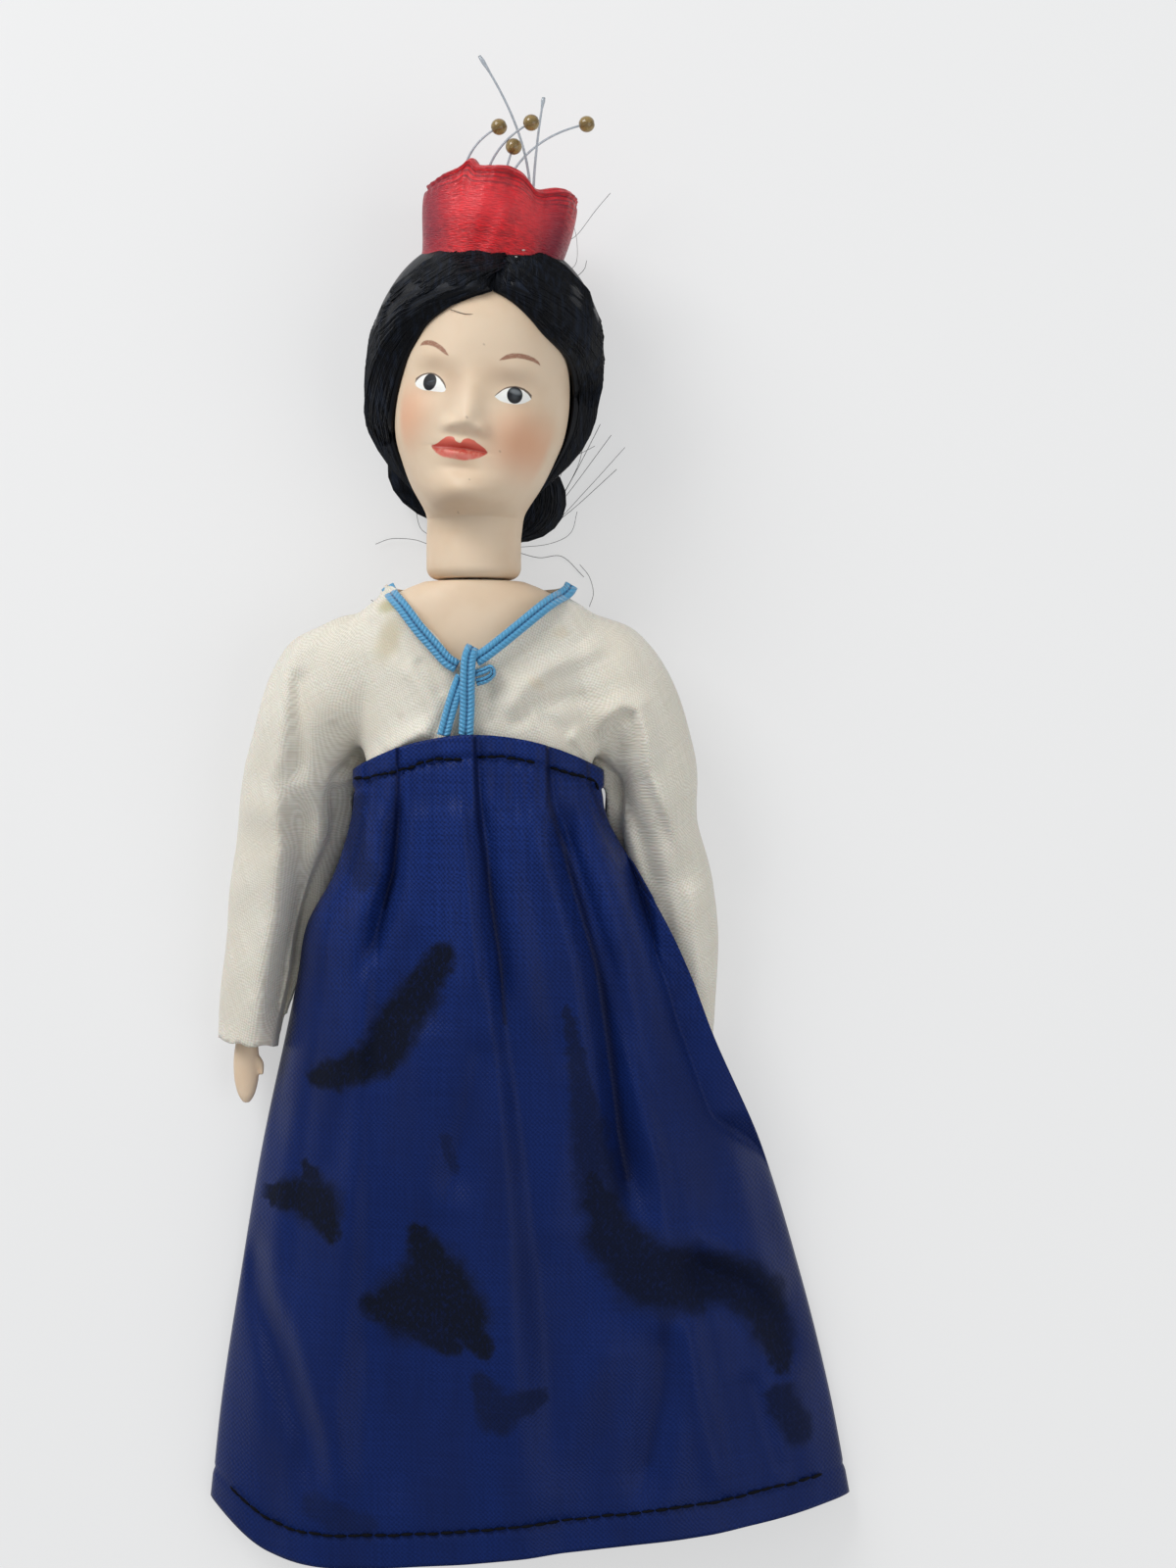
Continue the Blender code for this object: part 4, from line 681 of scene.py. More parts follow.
def build_hair(finish, strands, segments, rng):
    """The closed hair beneath and, over it, the strands that run from the parting round to the nape."""
    rows, columns = 80, 150
    t, q = np.meshgrid(np.linspace(0.05, 1.0, rows), np.linspace(0.0, 1.0, columns), indexing="ij")
    shell = hair_point(q, t, 0.02)
    inner = hair_point(q, t, -0.35)
    points = np.concatenate([shell.reshape(-1, 3), inner.reshape(-1, 3)])
    one = grid_quads(rows, columns, closed=False)
    two = one[:, ::-1] + rows * columns
    edges = [(k * columns + c, (k + 1) * columns + c) for k in range(rows - 1) for c in (0, columns - 1)]
    edges += [(k * columns + c, k * columns + c + 1) for c in range(columns - 1) for k in (0, rows - 1)]
    rim = [[a, b, rows * columns + b, rows * columns + a] for a, b in edges]
    flow = np.stack([q * 60, t * 12, np.zeros_like(t)], -1).reshape(-1, 3)
    base = make_piece(
        "hair_base", points, one.tolist() + two.tolist() + rim, finish, "head",
        {"flow": np.concatenate([flow, flow]), "local": points},
    )
    outward(base)
    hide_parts("wig")
    paths, radii = [], []
    u = np.linspace(0.0, 1.0, segments)
    width = np.minimum(1.0, 6 * np.minimum(u + 0.04, 1.04 - u))
    for k in range(strands):
        p = rng.random() ** 1.15
        right = rng.random() < 0.5
        clump = noise.noise(Vector((p * 26.0, 3.7 if right else 9.1, 0.0)))
        top = 0.805 + 0.185 * p + rng.uniform(-0.01, 0.01)
        low = rng.uniform(0.06, 0.12)
        far = 0.012 + 0.47 * p**1.25 + rng.uniform(-0.006, 0.006)
        turn = far * np.sin(u * math.pi / 2) ** (0.75 + 0.4 * p)
        wave = 0.004 * np.sin(u * rng.uniform(2, 5) + rng.uniform(0, 6)) * p
        share = np.clip(turn + wave, 0.003, 0.5)
        t_line = top + (low - top) * u ** (1.0 + 0.5 * p)
        lift = 0.10 + 0.16 * clump + rng.uniform(-0.05, 0.10) + 0.06 * np.sin(u * 7 + k)
        paths.append(hair_point(1 - share if right else share, t_line, lift))
        radii.append(rng.uniform(0.07, 0.12) * width)
    for _ in range(strands // 10):
        high, reach = rng.uniform(0.86, 0.97), rng.uniform(0.02, 0.09)
        over = 1.0 - 0.02 * rng.random() + reach * u
        paths.append(hair_point(over, high - rng.uniform(0.01, 0.04) * u, 0.26 + rng.uniform(-0.06, 0.08)))
        radii.append(rng.uniform(0.07, 0.11) * width)
    points, faces = tubes(paths, radii)
    lay = make_piece("hair_strands", points, faces, finish, "head", {"flow": points, "local": points})


def bun_point(b, a, grow=0.0):
    """Points on the bun: b round its long axis, a from its foot to its top."""
    c, s = signed_power(np.cos(b), 0.85), signed_power(np.sin(b), 0.85)
    across = (BUN_HALF_WIDTH + grow) * c * np.cos(a) ** 0.7
    up = (BUN_HALF_HEIGHT + grow) * np.sin(a)
    z = BUN_THICK / 2 + (BUN_THICK + 2 * grow) / 2 * s * np.cos(a) ** 0.6
    x, y = leaned(across, up, BUN_LEAN)
    return np.stack([x, BUN_Y + y, z], -1)


def build_bun(finish, strands, rng):
    """The closed bun beneath and the strands wound over it."""
    rows, columns = 40, 90
    a, b = np.meshgrid(np.linspace(-1.5, 1.5, rows), np.arange(columns) * 2 * math.pi / columns, indexing="ij")
    points, faces = capped(bun_point(b, a, -0.12))
    flow = np.stack([b * 9, a * 3, 0 * a], -1)
    base = make_piece("bun_base", points, faces, finish, "head", {"flow": flow, "local": points})
    outward(base)
    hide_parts("chignon")
    paths, radii = [], []
    u = np.linspace(-1.42, 1.42, 12)
    for k in range(strands):
        start = rng.uniform(0, 2 * math.pi)
        clump = noise.noise(Vector((start * 4.0, 1.3, 0.0)))
        twist = rng.uniform(-0.10, 0.10)
        lift = -0.10 + 0.14 * clump + rng.uniform(-0.05, 0.09)
        line = bun_point(start + twist * u + 0.12 * np.sin(u * 1.3), u, lift)
        line[:, 2] = np.maximum(line[:, 2], 0.15)
        paths.append(line)
        radii.append(rng.uniform(0.07, 0.11) * np.cos(u * 0.9) + 0.01)
    points, faces = tubes(paths, radii)
    lay = make_piece("bun_strands", points, faces, finish, "head", {"flow": points, "local": points})


# Loose hairs that lie beside the doll: points of x, y and z in millimetres
LOOSE_HAIRS = (
    ((6.4, 7.2, 3.0), (9.6, 9.6, 1.6), (13.4, 14.2, 1.0), (19.6, 22.6, 0.8)),
    ((6.8, 7.8, 3.4), (10.8, 11.2, 1.4), (14.2, 16.8, 1.0), (18.0, 24.2, 0.8)),
    ((6.2, 6.6, 2.4), (9.2, 8.2, 1.2), (13.8, 11.6, 0.8), (20.4, 17.6, 0.6)),
    ((7.0, 8.0, 3.2), (11.6, 12.6, 1.6), (14.6, 17.8, 1.0), (15.6, 21.8, 0.8)),
    ((5.8, 6.0, 2.2), (10.4, 6.6, 1.0), (13.6, 8.2, 0.6), (14.6, 11.4, 0.6)),
    ((5.6, 5.4, 2.0), (9.0, 4.6, 0.9), (12.4, 4.8, 0.5), (15.6, 1.8, 0.5)),
    ((7.6, 9.4, 3.4), (11.2, 13.8, 1.4), (13.0, 18.4, 1.0), (17.2, 21.0, 0.8)),
    ((6.6, 7.0, 2.0), (11.0, 9.4, 1.0), (16.0, 14.6, 0.7), (21.6, 20.8, 0.6)),
    ((-7.4, 12.4, 2.2), (-10.4, 15.2, 1.2), (-13.6, 19.0, 0.8), (-15.8, 23.4, 0.6)),
    ((-7.0, 9.8, 2.0), (-8.6, 12.6, 1.2), (-10.2, 15.0, 0.8), (-11.4, 18.0, 0.8)),
    ((-6.6, 6.2, 2.0), (-9.2, 7.2, 1.0), (-12.6, 7.4, 0.6), (-15.0, 6.6, 0.5)),
    ((-6.8, 7.6, 2.4), (-8.4, 9.0, 1.2), (-9.0, 11.6, 0.9), (-8.8, 13.8, 1.2)),
    ((12.6, 48.4, 14.0), (14.6, 49.6, 13.0), (17.2, 53.2, 12.0), (19.4, 56.0, 11.0)),
    ((12.2, 44.0, 13.0), (14.4, 45.6, 12.0), (14.6, 49.0, 11.6), (14.0, 51.6, 12.4)),
    ((12.4, 43.4, 12.0), (14.2, 43.8, 11.4), (15.6, 45.0, 11.0), (16.0, 46.4, 10.6)),
    ((13.6, 40.0, 11.0), (14.8, 40.1, 10.6), (16.0, 40.0, 10.2), (17.0, 40.4, 10.0)),
    ((-2.8, 36.6, 27.6), (-0.4, 35.8, 28.4), (1.6, 36.0, 28.3), (3.4, 36.8, 27.6)),
    ((-13.8, 27.4, 12.0), (-14.6, 24.8, 10.6), (-14.4, 22.2, 9.4), (-12.8, 20.6, 8.4)),
    ((-15.6, -1.6, 1.2), (-13.2, -3.0, 1.0), (-11.2, -4.2, 1.2), (-9.2, -4.4, 1.6)),
    ((15.0, 3.6, 1.0), (16.4, 1.8, 0.8), (17.0, -0.6, 0.8), (16.4, -2.6, 0.8)),
)


def build_loose_hairs(finish, rng):
    """The loose hairs, each a thin tube along its points."""
    steps = 22
    paths = [np.stack(table(evenly(keys), np.linspace(0, 1, steps)), -1) for keys in LOOSE_HAIRS]
    radii = [np.full(steps, rng.uniform(0.035, 0.055)) for _ in LOOSE_HAIRS]
    points, faces = tubes(paths, radii)
    loose = make_piece("loose_hairs", points, faces, finish, "head", {"flow": points, "local": points})


# Hat: where its foot stands, its lean, radii at foot and rim, height, and the well in its top
HAT_FOOT = (1.9, 41.5, 16.6)
HAT_LEAN = math.radians(9.5)
HAT_BASE, HAT_TOP, HAT_TALL, HAT_WELL, WELL_DEPTH = 9.7, 10.7, 14.3, 4.6, 4.2
# Rise of the rim and bulge of the side by degrees around the hat, from its right-hand side over its front
HAT_RIM = (
    (0, -0.3, 0.1), (20, 0.2, 0.7), (36, 0.1, 0.6), (50, -0.7, -0.5), (58, -0.6, -0.8), (72, 0.7, 0.3),
        (84, 1.1, 0.9),
    (98, 0.8, 0.8), (110, 0.8, 0.2), (118, 1.7, -0.1), (127, 0.5, 0.1), (140, -0.5, 0.6), (160, -1.5, 0.5),
        (180, -1.2, 0.0),
    (210, 0.3, 0.7), (236, -0.7, -0.7), (262, 0.6, 0.8), (290, -0.5, -0.7), (320, 0.6, 0.8), (342, -0.3, -0.3),
        (360, -0.3, 0.1),
)


# Creases down the hat's side: angle, half width, depth and lean
HAT_CREASES = (
    (1.62, 0.15, 0.85, -0.9), (1.30, 0.12, 0.35, -0.6), (0.72, 0.16, 0.8, 0.3), (2.45, 0.20, 0.5, 0.4),
    (2.05, 0.12, 0.25, 0.6), (-0.4, 0.2, 0.6, 0.3), (-1.3, 0.2, 0.7, -0.2), (-2.2, 0.2, 0.7, 0.3),
)


def hat_point(radius, height, angle, lobe):
    """Points on the hat, where lobe is the share of the rim's rise and bulge that is felt there."""
    rise, bulge = table(HAT_RIM, np.degrees(angle) % 360)
    radius = radius + lobe * bulge
    x, y = leaned(radius * np.cos(angle), height + lobe * fade(6.0, HAT_TALL, height) * rise, HAT_LEAN)
    return np.stack([HAT_FOOT[0] + x, HAT_FOOT[1] + y, HAT_FOOT[2] + radius * np.sin(angle)], -1)


def build_hat(finish, rows, columns):
    """The padded hat, from its foot up the side, over the rim and down into the well."""
    base, top, tall = HAT_BASE, HAT_TOP, HAT_TALL
    profile = (
        (0.00, base * 0.55, 0.0, 0.0), (0.12, base, 0.2, 0.0), (0.28, base + 0.1, tall * 0.25, 0.1),
        (0.48, top * 0.99, tall * 0.62, 0.7), (0.60, top * 0.99, tall * 0.86, 1.0),
            (0.68, top * 0.93, tall * 0.975, 1.0),
        (0.74, top * 0.82, tall, 1.0), (0.84, top * 0.64, tall * 0.955, 0.8), (0.93, HAT_WELL, tall - 2.5, 0.3),
        (1.00, HAT_WELL * 0.8, tall - WELL_DEPTH, 0.0),
    )
    t, a = np.meshgrid(np.linspace(0, 1, rows), np.arange(columns) * 2 * math.pi / columns, indexing="ij")
    radius, height, lobe = table(profile, t)
    body = fade(0.06, 0.25, t) * (1 - fade(0.66, 0.80, t))
    creases = np.zeros_like(t)
    for at, wide, depth, lean in HAT_CREASES:
        d = (a - at - lean * (t - 0.4) + math.pi) % (2 * math.pi) - math.pi
        creases -= depth * np.exp(-((d / wide) ** 2)) * (0.75 + 0.25 * np.sin(9 * t + at * 5))
    ripple = 0.06 * np.sin(44 * a + 5 * np.sin(3 * a) + 6 * t) * fade(0.50, 0.62, t) * (1 - fade(0.84, 0.95, t))
    rim = sum(
        depth * np.exp(-(((t - at) / wide) ** 2))
        for at, wide, depth in ((0.665, 0.016, 0.32), (0.632, 0.014, -0.25), (0.705, 0.012, 0.18))
    )
    points, faces = capped(hat_point(radius + creases * body + ripple + rim, height, a, lobe))
    cloth = np.stack([a * 10.5, t * 26, np.zeros_like(t)], -1)
    hat = make_piece("satin_hat", points, faces, finish, "head", {"cloth": cloth, "local": points})
    outward(hat)
    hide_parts("hat")


# Sleeves: share of length, x, y and z of the middle, half width and half height
SLEEVES = {
    "left": (
        (0.00, -12.0, -10.0, 13.2, 7.0, 6.2), (0.20, -20.4, -15.2, 12.0, 8.8, 8.0),
            (0.38, -26.0, -25.2, 10.4, 6.6, 7.4),
        (0.54, -27.6, -34.5, 8.6, 6.6, 6.4), (0.70, -30.4, -45.0, 6.9, 5.3, 5.6), (0.86, -32.0, -55.0, 5.8, 4.8, 4.9),
        (1.00, -33.4, -66.4, 5.1, 4.3, 4.3),
    ),
    "right": (
        (0.00, 11.0, -9.5, 13.2, 7.0, 6.2), (0.20, 19.2, -15.2, 12.0, 8.8, 8.0), (0.38, 26.2, -25.6, 10.4, 5.7, 7.4),
        (0.54, 26.8, -35.0, 8.2, 5.6, 6.0), (0.70, 29.4, -45.0, 6.4, 5.2, 5.0), (0.86, 30.3, -55.0, 5.2, 4.8, 4.3),
        (1.00, 30.4, -66.0, 4.6, 4.2, 3.9),
    ),
}
# Slack of each sleeve that lies low between it and the skirt, in the same order
SLACK = (
    (
        (0.00, -19.6, -22.0, 8.4, 5.4, 4.6), (0.20, -22.2, -31.0, 6.2, 6.0, 4.0), (0.40, -25.5, -40.0, 4.6, 5.7, 3.4),
        (0.60, -28.6, -48.6, 3.8, 4.7, 2.9), (0.80, -30.9, -57.4, 3.4, 4.2, 2.6), (1.00, -32.4, -66.4, 3.3, 3.7, 2.5),
    ),
    (
        (0.00, 20.4, -21.0, 8.4, 4.6, 4.6), (0.35, 21.4, -28.0, 6.4, 5.3, 3.8), (0.70, 24.0, -35.0, 5.0, 4.8, 3.0),
        (1.00, 27.0, -42.5, 4.4, 4.2, 2.6),
    ),
)
# Share of the forearm's length, then of its radius across and up
FOREARM = (
    (0.0, 1.0, 1.0), (0.25, 1.0, 1.0), (0.55, 0.80, 0.80), (0.70, 0.62, 0.62), (0.80, 0.72, 0.55),
    (0.90, 0.66, 0.45), (0.97, 0.42, 0.36), (1.0, 0.16, 0.20),
)
ARM_RADIUS = 2.6
ARM_START, ARM_END = 0.60, 1.15
ARM_VOXEL = {"left": 0.2, "right": 0.26}
# Share of the blouse's length, then of its half width, front and back
BLOUSE_FORM = (
    (0.00, 0.70, 0.95, 0.88), (0.08, 0.93, 1.00, 0.93), (0.20, 1.12, 1.02, 0.96), (0.36, 1.18, 1.02, 0.98),
    (0.60, 1.10, 1.02, 1.00), (0.85, 0.97, 1.00, 1.00), (1.00, 0.95, 0.98, 1.00),
)
BLOUSE_SIZE = (16.6, 29.5, 7.7, 10.8)
BLOUSE_TOP = -1.2
BLOUSE_THICKNESS = 0.30
# Share of the shoulder plate's length, then of its half width, front and back
PLATE_FORM = (
    (0.00, 0.42, 0.95, 0.76), (0.05, 0.56, 1.00, 0.83), (0.15, 0.76, 1.06, 0.92), (0.32, 0.95, 1.10, 1.00),
    (0.55, 1.00, 1.12, 1.03), (1.00, 0.96, 1.12, 1.05),
)


def limb_rings(keys, columns, rows, past_end=0.0):
    """Rings along a limb from keys (t, x, y, z, half width, half height), the last moved on by past_end."""
    t = np.linspace(0.0, 1.0, rows)
    x, y, z, half_width, half_height = table(keys, t)
    low, high = table(keys, np.maximum(t - 0.02, 0)), table(keys, np.minimum(t + 0.02, 1))
    along = np.stack([high[0] - low[0], high[1] - low[1]], -1)
    along /= np.linalg.norm(along, axis=1)[:, None]
    centre = np.stack([x, y], -1)
    centre[-1] += along[-1] * past_end
    a = np.arange(columns) * 2 * math.pi / columns
    side = half_width[:, None] * np.cos(a)[None]
    return np.stack([
        centre[:, 0, None] + along[:, 1, None] * side,
        centre[:, 1, None] - along[:, 0, None] * side,
        z[:, None] + half_height[:, None] * np.sin(a)[None],
    ], -1)


def oval_ring(x, y, z, half_width, front, back, columns):
    """A level ring with its own depth to the front and to the back."""
    a = np.arange(columns) * 2 * math.pi / columns
    s = np.sin(a)
    return np.stack([x + half_width * np.cos(a), np.full_like(a, y), z + np.where(s > 0, front, back) * s], -1)


def plate_ring(t, inset, columns):
    """A ring of the shoulder plate at a share of its length, drawn in for the inside."""
    wide, front, back = (float(v) for v in table(PLATE_FORM, t))
    y = -19.0 * t - inset * (1 - float(fade(0.0, 0.5, t)))
    return oval_ring(0, y, AXIS_Z, 17.2 * wide - inset, 5.8 * front - inset, 8.2 * back - inset, columns)


def build_plate(finish):
    """The hollow shoulder plate: up the outside, through the hole for the elastic and down the inside."""
    columns, hole, wall = 120, 1.7, 1.6
    rings = [plate_ring(t, 0.0, columns) for t in 1 - np.linspace(0, 1, 40) ** 0.8]
    rings += [oval_ring(0, y, AXIS_Z, hole, hole, hole, columns) for y in (0, -wall)]
    rings += [plate_ring(t, wall, columns) for t in np.linspace(0.04, 1.0, 24)]
    points = np.concatenate(rings)
    faces = ring_of_rings(len(rings), columns)
    plate = make_piece("bisque_shoulders", points, faces, finish, "figure", {"local": points})
    outward(plate)
    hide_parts("shoulder_plate")


def join_and_remesh(name, parts, voxel, finish):
    """One closed skin round overlapping closed forms, as a mesh object."""
    points, faces = joined(parts)
    mesh = bpy.data.meshes.new(name)
    mesh.from_pydata(to_world(points).tolist(), [], faces)
    piece = bpy.data.objects.new(name, mesh)
    bpy.context.scene.collection.objects.link(piece)
    outward(piece)
    add_modifier(piece, "REMESH", mode="VOXEL", voxel_size=voxel * MM, adaptivity=0.0)
    piece.data.materials.append(finish)
    return piece


def add_modifier(piece, kind, **values):
    """Works a modifier into the piece's mesh."""
    step = piece.modifiers.new(kind.lower(), kind)
    for key, value in values.items():
        setattr(step, key, value)
    bpy.context.view_layer.update()
    graph = bpy.context.evaluated_depsgraph_get()
    made = bpy.data.meshes.new_from_object(piece.evaluated_get(graph))
    old = piece.data
    piece.modifiers.clear()
    piece.data = made
    bpy.data.meshes.remove(old)


def read_vectors(values, name):
    """Vectors of a mesh's points or normals as rows."""
    flat = np.empty(len(values) * 3, np.float32)
    values.foreach_get(name, flat)
    return flat.reshape(-1, 3).astype(float)


def mesh_points(piece):
    """The mesh's points in the doll's millimetres."""
    return (read_vectors(piece.data.vertices, "co") - SHIFT) / MM


def set_mesh_points(piece, points):
    """Moves the mesh's points to places in the doll's millimetres."""
    piece.data.vertices.foreach_set("co", to_world(points).astype(np.float32).ravel())
    piece.data.update()


def near_line(x, y, line):
    """Distance from points to a broken line, its signed side and the share along it."""
    line = np.asarray(line, float)
    best = np.full(x.shape, 1e9)
    side, share = np.zeros_like(x), np.zeros_like(x)
    lengths = np.linalg.norm(np.diff(line, axis=0), axis=1)
    starts = np.concatenate([[0], np.cumsum(lengths)])
    for k in range(len(line) - 1):
        ax, ay = line[k]
        dx, dy = line[k + 1] - line[k]
        u = np.clip(((x - ax) * dx + (y - ay) * dy) / (dx * dx + dy * dy), 0, 1)
        px, py = x - ax - u * dx, y - ay - u * dy
        d = np.hypot(px, py)
        closer = d < best
        best = np.where(closer, d, best)
        side = np.where(closer, np.sign(dx * py - dy * px), side)
        share = np.where(closer, (starts[k] + u * lengths[k]) / starts[-1], share)
    return best, side, share


def fold(x, y, line, height, wide, steep):
    """A ridge (or, below 0, a valley) along a broken line, with its own width on the line's right-hand side."""
    d, side, share = near_line(x, y, line)
    half = np.where(side < 0, steep, wide)
    ends = fade(-0.02, 0.16, share) * fade(1.02, 0.80, share)
    return height * np.exp(-((d / half) ** 2)) * ends


# Folds on the front of the blouse: line, height, width, width on the steeper side
BLOUSE_FOLDS = (
    (((-21.5, -6.8), (-24.8, -9.5), (-26.4, -13.0), (-26.9, -18.0), (-27.2, -24.0), (-28.2, -30.0)), 0.9, 2.0, 1.0),
    (((-24.6, -12.0), (-24.4, -18.0), (-24.6, -24.0), (-25.6, -29.0)), -0.8, 1.3, 1.0),
    (((-28.0, -28.0), (-27.4, -38.0), (-28.5, -48.0), (-30.2, -57.0), (-31.4, -67.0)), 1.1, 0.9, 2.8),
    (((-24.6, -28.5), (-24.7, -38.0), (-26.0, -48.0), (-27.9, -57.0), (-29.2, -66.0)), -1.9, 2.0, 1.3),
    (((-12.0, -24.6), (-9.4, -22.6), (-6.8, -21.4), (-5.2, -21.8)), 1.0, 1.5, 0.6),
    (((-22.0, -28.6), (-18.0, -28.0), (-14.6, -26.2), (-11.0, -23.8)), 0.9, 1.6, 0.6),
    (((-10.0, -11.5), (-7.8, -14.2), (-5.4, -17.8), (-4.6, -20.6)), 0.45, 1.3, 1.1),
    (((-7.8, -11.0), (-5.6, -13.6), (-3.9, -16.6)), -0.40, 0.9, 0.9),
    (((-14.8, -5.0), (-12.8, -8.0), (-10.4, -11.4)), -0.35, 1.2, 1.0),
    (((4.4, -19.6), (7.0, -15.4), (10.8, -12.4), (15.2, -10.6), (19.4, -8.0)), 0.65, 1.7, 1.4),
    (((4.8, -21.2), (8.4, -18.2), (13.2, -16.6), (17.6, -16.8)), -0.45, 1.3, 1.0),
    (((16.4, -22.6), (18.6, -19.4), (21.0, -17.6), (23.2, -18.0), (24.2, -21.4), (24.8, -27.0), (27.4, -33.0),
        (29.6, -39.0)), 1.15, 1.7, 0.8),
    (((20.6, -20.4), (21.0, -24.8), (21.4, -29.4), (24.2, -37.0), (26.6, -46.0)), -1.5, 1.5, 1.5),
    (((13.2, -21.2), (16.0, -24.2), (18.4, -27.4)), 0.7, 1.5, 0.8),
    (((8.8, -18.6), (12.2, -20.8), (15.4, -24.6)), -0.40, 1.1, 1.0),
    (((30.6, -42.0), (32.0, -50.0), (32.2, -60.0)), 0.5, 1.6, 1.2),
    (((26.8, -44.0), (28.2, -53.0), (28.6, -62.0)), -0.5, 1.2, 1.2),
    (((-33.6, -34.0), (-34.6, -44.0), (-35.6, -54.0), (-36.2, -63.0)), 0.35, 1.4, 1.4),
    (((1.9, -13.6), (2.6, -17.0), (2.2, -20.6)), -0.35, 0.9, 0.9),
)
NECKLINE = ((-12.8, 3.0), (-11.2, -0.4), (-1.2, -11.9), (1.0, -11.6), (12.6, -1.0), (14.6, 3.0))


def inside_outline(x, y, outline):
    """True inside a closed outline."""
    found = np.zeros(x.shape, bool)
    for (x1, y1), (x2, y2) in zip(outline, outline[1:] + outline[:1]):
        crosses = (y1 > y) != (y2 > y)
        at = x1 + (y - y1) * (x2 - x1) / (y2 - y1 if y2 != y1 else 1e-9)
        found ^= crosses & (x < at)
    return found


def cut_faces(piece, keep):
    """Removes the faces with a corner that isn't kept."""
    work = bmesh.new()
    work.from_mesh(piece.data)
    work.verts.ensure_lookup_table()
    gone = [f for f in work.faces if not all(keep[v.index] for v in f.verts)]
    bmesh.ops.delete(work, geom=gone, context="FACES")
    loose = [v for v in work.verts if not v.link_faces]
    bmesh.ops.delete(work, geom=loose, context="VERTS")
    work.to_mesh(piece.data)
    work.free()


def smooth_rims(piece, rounds):
    """Evens out the open edges of a mesh."""
    work = bmesh.new()
    work.from_mesh(piece.data)
    rims = [v for v in work.verts if v.is_boundary]
    near = {v: [e.other_vert(v) for e in v.link_edges if e.is_boundary] for v in rims}
    for _ in range(rounds):
        places = {v: (v.co + sum((n.co for n in near[v]), Vector()) / len(near[v])) / 2 for v in rims}
        for v, place in places.items():
            v.co = place
    work.to_mesh(piece.data)
    work.free()


def sleeve_share(points, side):
    """Share of the sleeve's length nearest to each point."""
    t = np.linspace(0, 1.06, 160)
    keys = SLEEVES[side]
    x, y = table(keys, t)[:2]
    end = np.array(keys[-1][1:3]) - np.array(keys[-2][1:3])
    end /= np.linalg.norm(end)
    past = np.maximum(t - 1, 0) * 62
    x, y = x + end[0] * past, y + end[1] * past
    d = np.hypot(points[:, 0, None] - x[None], points[:, 1, None] - y[None])
    return t[d.argmin(1)]


def build_blouse(finish, voxel):
    """The blouse as one skin round its forms, folded, cut open at neck, cuffs and hem, and given its thickness."""
    half, length, front, back = BLOUSE_SIZE
    rings = []
    for t in np.linspace(0.0, 1.0, 30):
        wide, f, b = (float(v) for v in table(BLOUSE_FORM, t))
        y = BLOUSE_TOP - (length + BLOUSE_TOP) * t
        y += 3.0 * (t == 0.0) - 3.0 * (t == 1.0)
        rings.append(oval_ring(0.8 * t, y, AXIS_Z, half * wide, front * f, back * b, 64))
    parts = [capped(np.stack(rings))]
    parts += [capped(limb_rings(keys, 40, 50, past_end=3.0)) for keys in SLEEVES.values()]
    parts += [capped(limb_rings(keys, 32, 40, past_end=past)) for keys, past in zip(SLACK, (3.0, 0.0))]
    blouse = join_and_remesh("cloth_blouse", parts, voxel, finish)
    add_modifier(blouse, "SMOOTH", factor=0.5, iterations=16)
    points = mesh_points(blouse)
    normals = read_vectors(blouse.data.vertex_normals, "vector")
    x, y, z = points.T
    upward = fade(-0.1, 0.5, normals[:, 2])
    rise = sum(fold(x, y, *row) for row in BLOUSE_FOLDS)
    left_t, right_t = (sleeve_share(points, side) for side in ("left", "right"))
    on_left, on_right = x < -17, x > 17.5
    creases = np.zeros_like(x)
    for t, on in ((left_t, on_left), (right_t, on_right)):
        creases += on * 0.16 * np.sin(t * 38 + 0.8 * np.sin(t * 11) + x * 0.35) * fade(0.1, 0.3, t) * fade(1.0, 0.85, t)
    soft = np.array([noise.noise(Vector((px * 0.16, py * 0.11, pz * 0.16))) for px, py, pz in points])
    back_folds = (1 - upward) * (0.30 * np.sin(x * 0.9 + 0.3 * np.sin(y * 0.3)) + 0.25 * soft)
    trim = fade(0.0, -3.0, y) * 0.75 + 0.25
    points[:, 2] += upward * (rise * 1.25 + creases) * trim
    points += normals * ((0.30 * soft * trim + back_folds * 0.5)[:, None])
    points[:, 2] = np.maximum(points[:, 2], 0.5)
    set_mesh_points(blouse, points)
    x, y, z = points.T
    cuff_wave = 0.25 * np.sin(x * 2.1) + 0.15 * np.sin(x * 5.3 + 1.0)
    torso = (x > -17.5) & (x < 18.5)
    hem_line = -length + 0.4 * np.sin(x * 0.8) + np.where(z > AXIS_Z, 1.2 * np.exp(-((x / 9) ** 2)), 0.0)
    keep = ~(torso & (y < hem_line))
    keep &= np.where(x < 0, left_t, right_t) <= 1.0 + 0.004 * cuff_wave
    keep &= ~(inside_outline(x, y, NECKLINE) & (z > AXIS_Z + 2.0))
    keep &= y < BLOUSE_TOP + 0.9
    cut_faces(blouse, keep)
    smooth_rims(blouse, 12)
    points = mesh_points(blouse)
    x, y, z = points.T
    round_x = x - np.clip(x / 14, -1, 1) * 0.9 * (z - 22)
    cloth = np.stack([*leaned(round_x, y, math.radians(24)), 0 * z], -1)
    add_vectors(blouse.data, {"cloth": cloth, "local": points})
    add_modifier(blouse, "SOLIDIFY", thickness=BLOUSE_THICKNESS * MM, offset=-1.0)
    blouse.data.shade_smooth()
    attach(blouse, "figure")
    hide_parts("blouse")
    return blouse


